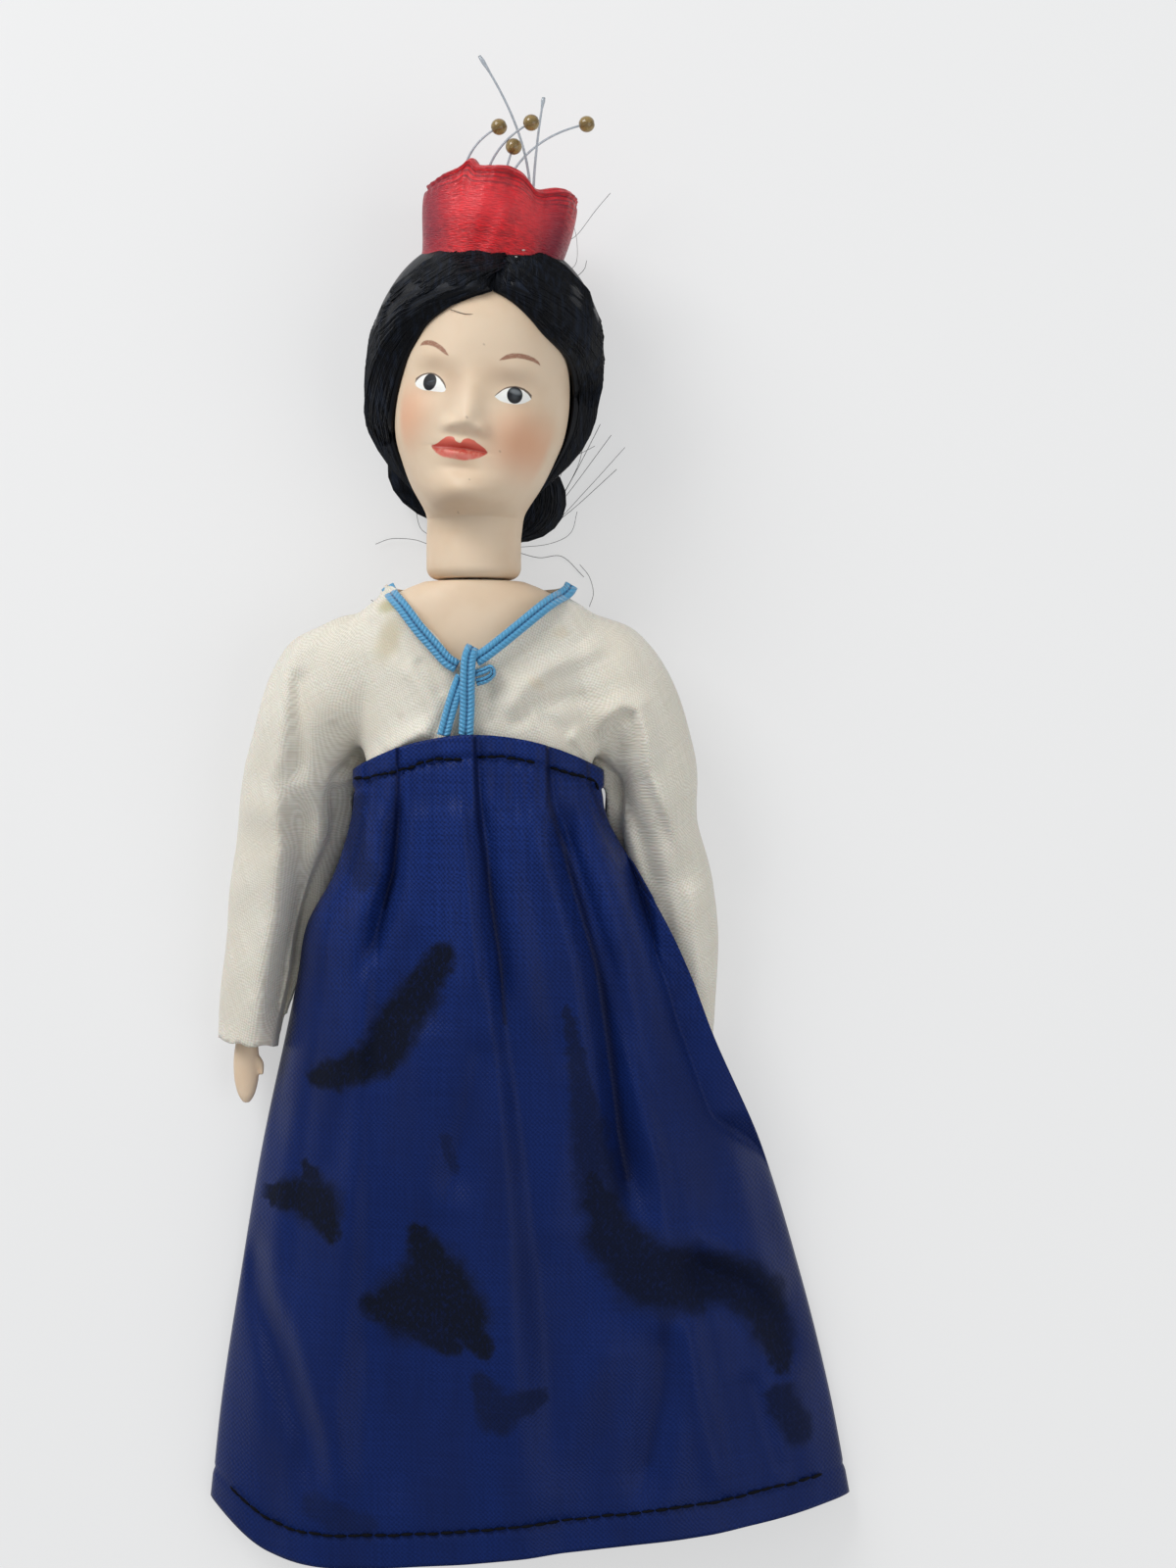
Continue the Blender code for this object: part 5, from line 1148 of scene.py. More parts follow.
# Skirt outline: share of length, left edge, right edge and height of the front
SKIRT_FORM = (
    (0.00, -17.2, 18.3, 23.8), (0.06, -17.6, 18.8, 23.8), (0.14, -20.4, 23.4, 23.2), (0.21, -24.6, 27.6, 22.4),
    (0.28, -26.2, 31.0, 21.6), (0.36, -28.0, 34.2, 21.0), (0.52, -31.6, 41.6, 20.2), (0.70, -34.8, 47.4, 19.4),
    (0.86, -37.4, 51.6, 18.8), (1.00, -39.0, 54.4, 18.4),
)
# Pleats across the front, from -1 at its left edge to 1 at its right
FRONT_PLEATS = (-0.90, -0.62, -0.02, 0.545, 0.86)
SKIRT_TOP, SKIRT_SIDE_DROP, SKIRT_LENGTH = -21.8, 4.8, 116.5
SKIRT_THICKNESS = 0.32
# Shares: the front's part of the points round the skirt, and where the rows of stitches run down its length
FRONT_SHARE = 0.62
WAIST_ROW, HEM_ROW = 0.027, 0.961


def hem_drop(s):
    """How far the hem hangs lower than at the right edge, s from -1 to 1 across."""
    return table(((-1.0, 0.5), (-0.8, 6.2), (-0.5, 7.2), (0.06, 4.6), (0.5, 2.6), (1.0, 0.0)), s)[0]


def skirt_y(s, v):
    """y at s across the skirt and v down it."""
    top = SKIRT_TOP - SKIRT_SIDE_DROP * s * s
    bottom = SKIRT_TOP - SKIRT_LENGTH + 6.0 - hem_drop(s)
    return top + (bottom - top) * v


def arm_under(x, y):
    """Height of the right sleeve where the skirt lies over it, or 0."""
    keys = SLEEVES["right"]
    t = np.linspace(0, 1, 80)
    cx, cy, cz, half_width, half_height = table(keys, t)
    near = np.abs(cy[None] - y.ravel()[:, None]).argmin(1).reshape(y.shape)
    past = fade(0.0, 10.0, keys[-1][2] - 9.0 - y)
    top = cz[near] + half_height[near] + 1.2
    reach = fade(cx[near] - half_width[near] - 2.8, cx[near] - half_width[near] * 0.75, x)
    return top * reach * (1 - past) * fade(-30.0, -36.0, y)


# Soft folds on the front of the skirt: line, height, width to the right of the line and to its left
SKIRT_FOLDS = (
    (((-10.3, -27.5), (-11.2, -41.2), (-13.6, -49.0), (-16.0, -57.0)), -1.9, 1.6, 1.2),
    (((-12.6, -30.0), (-13.6, -40.0), (-16.4, -50.0)), 0.9, 1.2, 2.6),
    (((-7.6, -30.0), (-8.2, -40.0), (-9.0, -52.0)), 0.7, 2.4, 2.0),
    (((0.9, -27.0), (1.4, -36.0), (2.6, -44.0), (4.0, -53.0), (4.6, -62.0)), -1.1, 1.6, 1.1),
    (((-1.6, -28.0), (-1.2, -38.0), (0.0, -50.0), (1.0, -60.0)), 1.3, 1.2, 2.8),
    (((5.0, -30.0), (5.8, -42.0), (7.4, -54.0), (8.4, -66.0)), 0.7, 2.6, 2.0),
    (((10.9, -27.5), (12.6, -37.0), (17.4, -54.0), (20.6, -78.0), (22.8, -88.0), (26.2, -94.6)), -3.4, 3.0, 1.8),
    (((8.6, -29.0), (10.0, -38.0), (14.4, -54.0), (17.6, -72.0), (19.0, -84.0)), 1.2, 1.4, 3.0),
    (((13.8, -33.0), (19.8, -51.0), (22.8, -64.0), (24.8, -76.0), (28.0, -88.0)), 1.9, 4.2, 2.2),
    (((17.2, -30.0), (20.4, -38.0), (25.0, -48.0), (28.4, -58.0)), -0.9, 1.6, 1.4),
    (((27.0, -95.4), (32.0, -97.8), (38.0, -100.4), (43.0, -106.0), (45.6, -114.0)), -1.9, 2.2, 3.0),
    (((28.0, -91.0), (34.0, -94.0), (40.0, -97.4), (45.4, -103.0)), 0.9, 3.0, 2.4),
    (((30.0, -102.0), (31.6, -110.0), (33.6, -120.0), (36.0, -131.0)), 1.2, 2.6, 2.0),
    (((27.0, -104.0), (26.6, -114.0), (24.6, -124.0), (24.0, -131.0)), -1.5, 2.4, 2.6),
    (((38.6, -112.0), (41.0, -121.0), (43.6, -130.0)), -1.0, 2.2, 2.0),
    (((20.6, -104.0), (16.0, -114.0), (12.0, -124.0), (9.6, -134.0)), 0.9, 3.4, 3.4),
    (((13.6, -66.0), (13.0, -80.0), (10.6, -96.0)), 0.8, 3.4, 3.0),
    (((2.4, -63.0), (0.6, -72.0), (-1.8, -82.0), (-3.4, -88.0)), -1.1, 2.6, 2.2),
    (((-6.5, -60.0), (-8.0, -72.0), (-7.2, -84.0), (-5.4, -92.0)), 1.0, 3.2, 3.2),
    (((-34.0, -92.0), (-31.6, -102.0), (-27.8, -112.0), (-24.0, -122.0), (-22.4, -132.0)), -1.7, 2.6, 2.2),
    (((-28.6, -98.0), (-24.6, -108.0), (-20.4, -119.0), (-18.0, -132.0)), 1.0, 3.0, 3.0),
    (((-14.0, -104.0), (-11.6, -116.0), (-10.4, -132.0)), -0.8, 3.0, 3.0),
    (((-20.6, -44.0), (-22.0, -56.0), (-23.6, -70.0)), 0.7, 3.0, 2.6),
    (((-15.8, -66.0), (-18.6, -76.0), (-20.4, -86.0)), -0.9, 2.6, 2.4),
    (((24.6, -42.0), (29.0, -54.0), (33.0, -68.0), (37.0, -82.0)), -1.0, 3.0, 2.4),
    (((29.0, -48.0), (32.6, -58.0), (36.6, -74.0), (40.6, -88.0)), 0.7, 2.6, 2.6),
    (((-31.8, -72.0), (-33.6, -84.0), (-35.6, -96.0)), 0.6, 2.4, 2.0),
    (((-26.6, -60.0), (-28.8, -72.0), (-30.0, -82.0)), -0.7, 2.2, 2.0),
)


def skirt_front(s, v):
    """Points on the front of the skirt, with its pleats and folds, over the sleeve at its right."""
    left, right, height = table(SKIRT_FORM, v)
    middle, half = (left + right) / 2, (right - left) / 2
    x, y = middle + half * s, skirt_y(s, v)
    power = 2.0 + 0.4 * v
    body = np.maximum(1 - np.minimum(np.abs(s), 1.0) ** power, 0.0) ** (0.5 + 0.25 * v)
    edge = AXIS_Z * 0.75 * (1 - fade(0.0, 0.35, v)) + 1.2
    z = edge + (height - edge) * body
    for at in FRONT_PLEATS:
        d = (s - at) * half
        wide = 5.2 * (1 + 2.2 * v)
        ridge = np.where(d <= 0, fade(-1.0, 0.0, d / wide), 1 - fade(0.0, 1.0, d / (0.6 + 6.0 * v)))
        z = z + (1.4 + 1.0 * fade(0.1, 0.5, v)) * (1 - 0.5 * fade(0.7, 1.0, v)) * ridge * body
    rise = sum(fold(x, y, *row) for row in SKIRT_FOLDS)
    z = z + rise * fade(0.0, 0.25, body) * fade(-29.0, -34.5, y)
    lift = arm_under(x, y)
    return np.stack([x, y, np.maximum(z, np.where(lift > 0, lift + 1.8, 0))], -1)


def skirt_back(s, v):
    """Points on the back of the skirt, which lies on the floor and rises at its edges and top."""
    left, right, _ = table(SKIRT_FORM, v)
    x = (left + right) / 2 + (right - left) / 2 * s
    rise = 2.2 * (1 - fade(0.0, 0.12, v)) + 7.0 * np.abs(s) ** 4 * (1 - fade(0.1, 0.35, v))
    y = skirt_y(s, v)
    wave = 0.35 * (1 + np.sin(s * 17 + 2.0 * np.sin(v * 3))) * fade(0.12, 0.5, v) * (1 - s * s)
    return np.stack([x, y, np.maximum(rise + wave, arm_under(x, y))], -1)


def build_skirt(finish, columns, rows):
    """The skirt as a tube of cloth; also its rings and their shares of its length, for the stitches."""
    front = int(columns * FRONT_SHARE)
    back = columns - front
    s_front = -np.cos(math.pi * np.linspace(0, 1, front)) * 0.35 + 0.65 * np.linspace(-1, 1, front)
    s_back = np.linspace(1, -1, back + 2)[1:-1]
    ends = (np.linspace(0, 0.03, 9)[:-1], np.linspace(0.03, 0.955, rows - 17), np.linspace(0.955, 1.0, 10)[1:])
    v = np.concatenate(ends)
    s1, v1 = np.meshgrid(s_front, v)
    s2, v2 = np.meshgrid(s_back, v)
    rings = np.concatenate([skirt_front(s1, v1), skirt_back(s2, v2)], 1)
    soft = np.array([noise.noise(Vector((px * 0.10, py * 0.055, 3.0))) for px, py, _ in rings.reshape(-1, 3)])
    rings[..., 2] += (soft.reshape(rings.shape[:2]) * 0.9 * fade(3.0, 9.0, rings[..., 2]) * fade(0.03, 0.2, v)[:, None])
    gathers = 0.13 * np.sin(rings[..., 0] * 3.1 + 1.2 * np.sin(rings[..., 0] * 0.7))
    rings[..., 2] += gathers * np.exp(-(((v - 0.055) / 0.06) ** 2))[:, None] * fade(15.0, 20.0, rings[..., 2])
    groove = np.exp(-(((v - WAIST_ROW) / 0.004) ** 2)) * 0.35 + np.exp(-(((v - HEM_ROW) / 0.0035) ** 2)) * 0.22
    turned = 0.30 * fade(WAIST_ROW, 0.020, v) + 0.20 * fade(HEM_ROW, 0.968, v)
    middle = np.stack([rings[..., 0].mean(1), rings[..., 2].mean(1)], -1)
    out = rings[..., (0, 2)] - middle[:, None]
    out /= np.linalg.norm(out, axis=-1)[..., None]
    lift = (turned - groove)[:, None]
    rings[..., 0] += out[..., 0] * lift * 0.6
    rings[..., 2] += np.where(rings[..., 2] > 3, out[..., 1] * lift, 0)
    rings[..., 2] = np.maximum(rings[..., 2], 0.45)
    points = rings.reshape(-1, 3)
    flat = np.stack([rings[..., 0] * 1.02, rings[..., 1], np.zeros(rings.shape[:2])], -1).reshape(-1, 3)
    skirt = make_piece(
        "taffeta_skirt", points, grid_quads(len(v), columns).tolist(), finish, "figure",
        {"cloth": flat, "local": points},
    )
    outward(skirt)
    add_modifier(skirt, "SOLIDIFY", thickness=SKIRT_THICKNESS * MM, offset=-1.0)
    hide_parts("skirt")
    return skirt, rings, v


def chest_z(x, y):
    """Height of the front of the blouse under the braid."""
    t = np.clip((BLOUSE_TOP - y) / (BLOUSE_SIZE[1] + BLOUSE_TOP), 0.0, 1.0)
    wide, front, _ = table(BLOUSE_FORM, t)
    u = np.minimum(np.abs(x - 0.8 * t) / (BLOUSE_SIZE[0] * wide), 0.98)
    return AXIS_Z + BLOUSE_SIZE[2] * front * np.sqrt(1 - u * u)


BRAID_HIGH, BRAID_LIFT = 1.15, 0.65


def braid_strip(keys, width, steps):
    """Rings of a flat braid with two round ridges: keys are (x, y, extra height, turn onto its side)."""
    x, y, extra, roll = table(evenly(keys), np.linspace(0, 1, steps))
    path = np.stack([x, y], -1)
    along = np.gradient(path, axis=0)
    along /= np.linalg.norm(along, axis=1)[:, None]
    across = np.stack([along[:, 1], -along[:, 0]], -1)
    a = np.arange(28) * 2 * math.pi / 28
    side = np.cos(a)
    ridge = 0.62 + 0.38 * np.abs(np.sin(np.clip(np.abs(side), 0, 1) * math.pi * 0.95)) ** 0.8
    tall = np.abs(np.sin(a))
    up = np.where(np.sin(a) > 0, 0.36 + 0.64 * ridge * tall**0.45, 0.36 - 0.36 * tall**0.6)
    half = width / 2 * (1 - 0.6 * roll)
    reach = side[None] * half[:, None]
    px, py = x[:, None] + across[:, 0, None] * reach, y[:, None] + across[:, 1, None] * reach
    ground = chest_z(x, y)[:, None] * 0.5 + chest_z(px, py) * 0.5
    pz = ground + BRAID_LIFT + extra[:, None] + BRAID_HIGH * up[None] + roll[:, None] * reach * 1.2
    length = np.concatenate([[0], np.cumsum(np.hypot(np.diff(x), np.diff(y)))])
    marks = np.stack(np.broadcast_arrays(side[None], length[:, None], np.sin(a)[None]), -1)
    return np.stack([px, py, pz], -1), marks


# Lengths of the braid: the solid that each stands for, its keys, width and number of steps
BRAID_PIECES = {
    "braid_left": ("braid_collar_left", (
        (-12.2, -0.6, -1.6, 0.0), (-11.4, -1.9, -0.3, 0.0), (-9.6, -4.0, 0.1, 0.0), (-7.4, -6.9, 0.2, 0.0),
        (-5.2, -9.4, 0.1, 0.0), (-3.4, -11.4, 0.0, 0.0), (-2.0, -12.3, -0.2, 0.0),
    ), 1.95, 60),
    "braid_right": ("braid_collar_right", (
        (13.9, -0.4, -1.8, 0.0), (13.2, -1.5, -0.4, 0.0), (10.8, -3.3, 0.1, 0.0), (7.6, -6.0, 0.2, 0.0),
        (4.6, -8.5, 0.3, 0.0), (2.2, -10.4, 0.5, 0.0), (0.6, -11.4, 0.3, 0.0),
    ), 1.95, 60),
    "braid_loop": ("braid_knot", (
        (0.3, -13.3, 0.2, 0.2), (1.7, -12.9, 0.5, 0.3), (2.7, -12.5, 0.4, 0.4), (3.0, -13.3, 0.3, 0.5),
        (2.1, -14.1, 0.3, 0.3), (0.7, -14.5, 0.1, 0.2),
    ), 1.25, 40),
    "braid_tail": ("braid_tail_right", (
        (0.3, -9.5, -0.2, 0.15), (0.0, -10.1, 0.8, 0.1), (-0.35, -11.6, 1.15, 0.0), (-0.5, -14.6, 0.95, 0.0),
        (-0.55, -18.0, 0.35, 0.0), (-0.75, -21.9, 0.1, 0.0),
    ), 2.1, 64),
    "braid_tail_under": ("braid_tail_left", (
        (-1.3, -13.6, -0.2, 0.0), (-2.0, -15.4, 0.2, 0.0), (-2.9, -18.2, 0.2, 0.0), (-3.9, -21.9, 0.1, 0.0),
    ), 1.85, 40),
}


def build_braid(finish):
    """The two sides of the collar, the knot's loop and its tails."""
    for name, (solid, keys, width, steps) in BRAID_PIECES.items():
        rings, marks = braid_strip(keys, width, steps)
        points, faces = capped(rings)
        piece = make_piece(name, points, faces, finish, "figure", {"braid": marks.reshape(-1, 3), "local": points})
        outward(piece)
        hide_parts(solid)


def along_line(line, step):
    """Points at even steps along a broken line."""
    line = np.asarray(line, float)
    lengths = np.concatenate([[0], np.cumsum(np.linalg.norm(np.diff(line, axis=0), axis=1))])
    at = np.arange(0, lengths[-1], step)
    return np.stack([np.interp(at, lengths, line[:, c]) for c in range(line.shape[1])], -1)


def surface_height(rings, x, y):
    """Height of the top of the skirt at x, y, from its own rings."""
    flat = rings.reshape(-1, 3)
    flat = flat[flat[:, 2] > 2.0]
    out = []
    for px, py in zip(x, y):
        d = (flat[:, 0] - px) ** 2 + (flat[:, 1] - py) ** 2
        near = np.argpartition(d, 5)[:5]
        out.append(flat[near, 2].max() if d[near].min() < 4 else 3.0)
    return np.array(out)


WAIST_STITCHES = (
    ((-16.9, -27.9), (-14.0, -27.6), (-10.1, -26.8), (-5.2, -25.2), (0.1, -25.2)),
    ((0.9, -24.9), (1.6, -24.8), (6.3, -25.0), (10.2, -26.0)),
    ((10.9, -26.3), (15.5, -27.6), (17.6, -28.4), (17.9, -30.6)),
)


def build_stitches(finish, rings, v, rng):
    """Running stitches of black thread below the waist's edge and above the hem."""
    front = rings[:, : int(rings.shape[1] * FRONT_SHARE)]
    paths, radii = [], []
    row = int(np.abs(v - HEM_ROW).argmin())
    hem = front[row][8:-8]
    lines = [(np.array(line), 1.35, 0.36) for line in WAIST_STITCHES] + [(hem[:, :2], 1.9, 0.38)]
    upper = front[front[..., 1].mean(1) > -40]
    for line, pitch, thick in lines:
        spots = along_line(line, pitch)
        source = front[row - 3:row + 4] if line is lines[-1][0] else upper
        for a, b in zip(spots[:-1], spots[1:]):
            end = a + (b - a) * rng.uniform(0.84, 0.99)
            u = np.linspace(0, 1, 7)
            x = a[0] + (end[0] - a[0]) * u + rng.uniform(-0.05, 0.05)
            y = a[1] + (end[1] - a[1]) * u + rng.uniform(-0.10, 0.10) + 0.06 * np.sin(u * 3.0)
            z = surface_height(source, x, y)
            z = z + 0.30 * np.sin(u * math.pi) - 0.05
            paths.append(np.stack([x, y, z], -1))
            radii.append(thick * (0.45 + 0.55 * np.sin(u * math.pi) ** 0.5) * rng.uniform(0.8, 1.1) * 0.62)
    points, faces = tubes(paths, radii, 6)
    thread = make_piece("skirt_stitches", points, faces, finish, "figure", {"flow": points, "local": points})
    return thread


# Bristles of the sprig: start, middle and tip of each
BRISTLES = {
    "long": ((8.0, 52.6, 17.2), (6.6, 62.4, 18.6), (1.0, 73.2, 20.6)),
    "short": ((8.4, 52.6, 17.0), (8.9, 60.0, 18.4), (10.0, 67.6, 19.8)),
    "left": ((-1.4, 53.8, 15.6), (-0.4, 60.1, 17.6), (4.6, 64.2, 18.4)),
    "middle": ((1.2, 53.6, 17.6), (3.6, 60.0, 20.2), (9.2, 64.0, 21.8)),
    "right": ((3.6, 53.6, 16.2), (8.4, 61.2, 16.0), (17.0, 64.9, 16.0)),
    "low": ((4.2, 53.4, 18.6), (4.9, 57.9, 20.0), (6.3, 61.4, 20.6)),
}
BRISTLE_STEPS = 30
BEADED = ("left", "middle", "right", "low")
BEAD_RADIUS = 1.15
GLUE_RADIUS = 2.6


def sprig_foot():
    """The middle of the drop of glue on the floor of the hat's well."""
    x, y = leaned(0.0, HAT_TALL - WELL_DEPTH + 0.3 + 0.6 * GLUE_RADIUS, HAT_LEAN)
    return np.array((HAT_FOOT[0] + x, HAT_FOOT[1] + y, HAT_FOOT[2]))


def bristle_line(name):
    """Points along a bristle that bends through its middle point."""
    start, bend, tip = (np.array(p) for p in BRISTLES[name])
    control = 2 * bend - (start + tip) / 2
    t = np.linspace(0, 1, BRISTLE_STEPS)[:, None]
    return start * (1 - t) ** 2 + 2 * control * t * (1 - t) + tip * t * t


def build_sprig(finish):
    """The bristles, which end in a bulb where they carry no bead, and the drop of glue that holds them."""
    bulb = 0.16 * np.exp(-((np.arange(BRISTLE_STEPS) - 28) / 1.1) ** 2)
    taper = np.linspace(0.20, 0.15, BRISTLE_STEPS)
    radii = [taper + bulb * (name not in BEADED) for name in BRISTLES]
    stems = tubes([bristle_line(name) for name in BRISTLES], radii, 8)
    foot = sprig_foot()
    a, b = np.meshgrid(np.linspace(-1.5, 1.5, 16), np.arange(24) * math.pi / 12, indexing="ij")
    lump = 1 + 0.08 * np.sin(3 * b + 2 * a)
    blob = np.stack([
        foot[0] + GLUE_RADIUS * np.cos(a) * np.cos(b) * lump, foot[1] + 0.6 * GLUE_RADIUS * np.sin(a) * lump,
        foot[2] + GLUE_RADIUS * np.cos(a) * np.sin(b) * lump,
    ], -1)
    points, faces = joined([stems, capped(blob)])
    sprig = make_piece("sprig_bristles", points, faces, finish, "head", {"local": points})
    outward(sprig)
    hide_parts("bristle_sprig")


def build_bead(name, glass):
    """A round bead with a hole, threaded on the end of a bristle."""
    columns = 24
    line = bristle_line(name)
    along = line[-1] - line[-3]
    along /= np.linalg.norm(along)
    centre = line[-1] - along
    side = np.cross(along, (0, 0, 1.0))
    side /= np.linalg.norm(side)
    turn = np.arange(columns)[:, None] * 2 * math.pi / columns
    around = side * np.cos(turn) + np.cross(side, along) * np.sin(turn)
    profile = [(BEAD_RADIUS * math.sin(a), BEAD_RADIUS * math.cos(a)) for a in np.linspace(-1.22, 1.22, 14)]
    profile += [(0.9, 0.36), (-0.9, 0.36)]
    points = np.concatenate([centre + along * offset + radius * around for offset, radius in profile])
    faces = ring_of_rings(len(profile), columns)
    bead = make_piece(f"glass_bead_{name}", points, faces, glass, "head", {"local": points})
    outward(bead)
    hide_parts(f"bead_{name}")


def build_bits(finish, rng):
    """Scraps of dried glue at the foot of the hat and one speck of lint on the hair."""
    spots = [
        (5.6, 43.9, 26.0, 0.13), (6.2, 44.1, 25.8, 0.20), (7.3, 45.1, 25.5, 0.15), (7.6, 43.9, 25.1, 0.26),
        (8.9, 43.5, 24.3, 0.14), (14.6, 33.4, 22.6, 0.30),
    ]
    parts = []
    for x, y, z, size in spots:
        a, b = np.meshgrid(np.linspace(-1.4, 1.4, 8), np.arange(12) * math.pi / 6, indexing="ij")
        rough = size * (1 + 0.3 * np.sin(3 * b + x) * np.cos(2 * a + y))
        long = rng.uniform(0.9, 1.7)
        across, up = np.cos(a) * np.cos(b) * long, np.cos(a) * np.sin(b) * 0.7
        parts.append(capped(np.stack([x + rough * across, y + rough * up, z + rough * np.sin(a) * 0.7], -1)))
    points, faces = joined(parts)
    bits = make_piece("glue_bits", points, faces, finish, "head", {"local": points})
    outward(bits)


def build_arm(side, finish):
    """A bisque forearm with a mitten hand and its thumb, as one skin."""
    keys = []
    sleeve = SLEEVES[side]
    for t, wide, high in FOREARM:
        along = ARM_START + (ARM_END - ARM_START) * t
        x, y, z = (float(v) for v in table(sleeve, min(along, 1.0))[:3])
        y -= max(along - 1.0, 0.0) * (sleeve[0][2] - sleeve[-1][2])
        keys.append((t, x, y, z, ARM_RADIUS * wide, ARM_RADIUS * high))
    wrist = [float(v) for v in table(keys, 0.76)[:3]]
    turn = -1 if side == "right" else 1
    thumb = (
        (0.0, wrist[0], wrist[1], wrist[2], 0.7, 0.7),
        (0.6, wrist[0] + turn * 1.9, wrist[1] - 1.6, wrist[2] + 0.4, 0.6, 0.6),
        (1.0, wrist[0] + turn * 2.3, wrist[1] - 3.4, wrist[2] + 0.6, 0.3, 0.3),
    )
    parts = [capped(limb_rings(keys, 32, 60)), capped(limb_rings(thumb, 16, 14))]
    arm = join_and_remesh(f"bisque_arm_{side}", parts, ARM_VOXEL[side], finish)
    add_modifier(arm, "SMOOTH", factor=0.5, iterations=8)
    arm.data.shade_smooth()
    add_vectors(arm.data, {"local": mesh_points(arm)})
    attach(arm, "figure")
    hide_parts(f"arm_{side}")


def bisque_finish(name, skin, lips=None, brows=None):
    """Unglazed porcelain, with the face painted on it where lips and brows are given."""
    made, tree, shader = new_material(name, Roughness=0.52, IOR=1.5, Specular_IOR_Level=0.32)
    shader.inputs["Subsurface Weight"].default_value = 0.12
    shader.inputs["Subsurface Radius"].default_value = (1.0, 0.55, 0.35)
    shader.inputs["Subsurface Scale"].default_value = 0.0012
    place = attribute(tree, "local")
    cloud = shade_noise(tree, place, 0.12, 3.0)
    tint = mix(tree, ramp(tree, cloud, 0.35, 0.7), skin, toned(skin, 0.94, 0.90, 0.86))
    fine = shade_noise(tree, place, 3.0, 4.0)
    tint = mix(tree, ramp(tree, fine, 0.66, 0.78, 0.0, 0.10), tint, rgb(170, 140, 112))
    if lips and brows:
        inputs = {"Place": attribute(tree, "face"), "Skin": tint, "Lips": lips, "Brows": brows}
        out = use_group(tree, "painted_face", inputs)
        tint = out["Colour"]
        tree.links.new(ramp(tree, out["Gloss"], 0.0, 1.0, 0.52, 0.36), shader.inputs["Roughness"])
    tree.links.new(tint, shader.inputs["Base Color"])
    bump(tree, shader, shade_noise(tree, place, 9.0, 3.0), 0.00003, 0.35)
    return made


def hair_finish(colour, sheen):
    """Black fibre with painted sheen: lighter streaks along its flow."""
    made, tree, shader = new_material("black_hair", Roughness=0.46, Specular_IOR_Level=0.16)
    flow = attribute(tree, "flow")
    lock = shade_noise(tree, stretch(tree, flow, (1.6, 0.05, 1.0)), 1.0, 4.0)
    # painted sheen: lighter streaks mixed in along the hair's flow
    tree.links.new(mix(tree, ramp(tree, lock, 0.42, 0.75), colour, sheen), shader.inputs["Base Color"])
    tree.links.new(ramp(tree, lock, 0.3, 0.7, 0.30, 0.46), shader.inputs["Roughness"])
    lines = shade_noise(tree, stretch(tree, flow, (5.0, 0.2, 1.0)), 1.0, 3.0)
    bump(tree, shader, lines, 0.0002, 0.8)
    return made


# Light and shade on the satin: centre, half sizes, turn, strength and tone
SATIN_DABS = (
    ((-6.2, 50.0), (2.6, 7.0), 0.0, 0.80, rgb(118, 10, 44)), ((11.6, 46.4), (2.4, 5.6), 0.0, 0.85, rgb(104, 8, 40)),
    ((1.6, 51.6), (4.6, 2.2), 0.0, 0.50, rgb(244, 66, 74)), ((8.6, 50.0), (2.4, 2.6), 0.0, 0.40, rgb(244, 66, 74)),
    ((5.4, 52.6), (0.9, 3.0), 0.0, 0.45, rgb(150, 8, 24)),
)
# Spots on the blouse in the same form: the first two are braid and skin that show through
BLOUSE_DABS = (
    ((-11.6, -8.2), (1.5, 3.3), 0.35, 0.50, rgb(190, 176, 140)), ((-11.8, -3.6), (1.4, 0.9),
        -0.3, 0.65, rgb(176, 168, 120)),
    ((9.0, -14.6), (1.2, 0.7), 0.5, 0.25, rgb(206, 186, 150)), ((12.4, -7.4), (1.1, 0.8),
        0.0, 0.25, rgb(196, 176, 136)),
    ((-17.6, -26.0), (1.3, 0.5), 0.2, 0.30, rgb(160, 148, 130)), ((-19.6, -20.0), (0.8, 0.5),
        0.0, 0.18, rgb(150, 140, 124)),
    ((-10.0, -19.0), (0.5, 0.5), 0.0, 0.20, rgb(170, 158, 138)),
)


def dabbed(tree, tint, place, dabs, soft):
    """The tint with soft dabs of other tones over it."""
    for centre, half, turn, strength, tone in dabs:
        tint = mix(tree, times(tree, dab_mask(tree, place, centre, half, soft, turn), strength), tint, tone)
    return tint


def satin_finish(colour, shaded_red):
    """Red satin: streaks of painted sheen round the hat, three sewn lines below its rim, and its painted light and
    shade.
    """
    made, tree, shader = new_material("red_satin", Roughness=0.36, Specular_IOR_Level=0.45)
    shader.inputs["Sheen Weight"].default_value = 0.06
    cloth = attribute(tree, "cloth")
    streak = shade_noise(tree, stretch(tree, cloth, (0.9, 7.0, 1.0)), 1.0, 3.0)
    wide = shade_noise(tree, stretch(tree, cloth, (0.25, 1.2, 1.0)), 1.0, 2.0)
    tone = calc(tree, "ADD", times(tree, streak, 0.7), times(tree, wide, 0.3))
    # painted sheen: the streaks mix a shaded copy of the red with the red
    tint = mix(tree, ramp(tree, tone, 0.36, 0.64), shaded_red, colour)
    up = split(tree, cloth)[1]
    lines = calc(tree, "SINE", times(tree, up, 9.6))
    band = times(tree, ramp(tree, up, 14.6, 15.0), ramp(tree, up, 17.4, 17.0))
    tint = mix(tree, times(tree, band, ramp(tree, lines, 0.2, 0.9, 0.0, 0.75)), tint, rgb(96, 6, 24))
    tint = dabbed(tree, tint, attribute(tree, "local"), SATIN_DABS, 0.9)
    tree.links.new(tint, shader.inputs["Base Color"])
    tree.links.new(ramp(tree, streak, 0.35, 0.65, 0.50, 0.26), shader.inputs["Roughness"])
    height = calc(tree, "ADD", streak, times(tree, wide, 0.6))
    bump(tree, shader, height, 0.00025, 0.75)
    return made


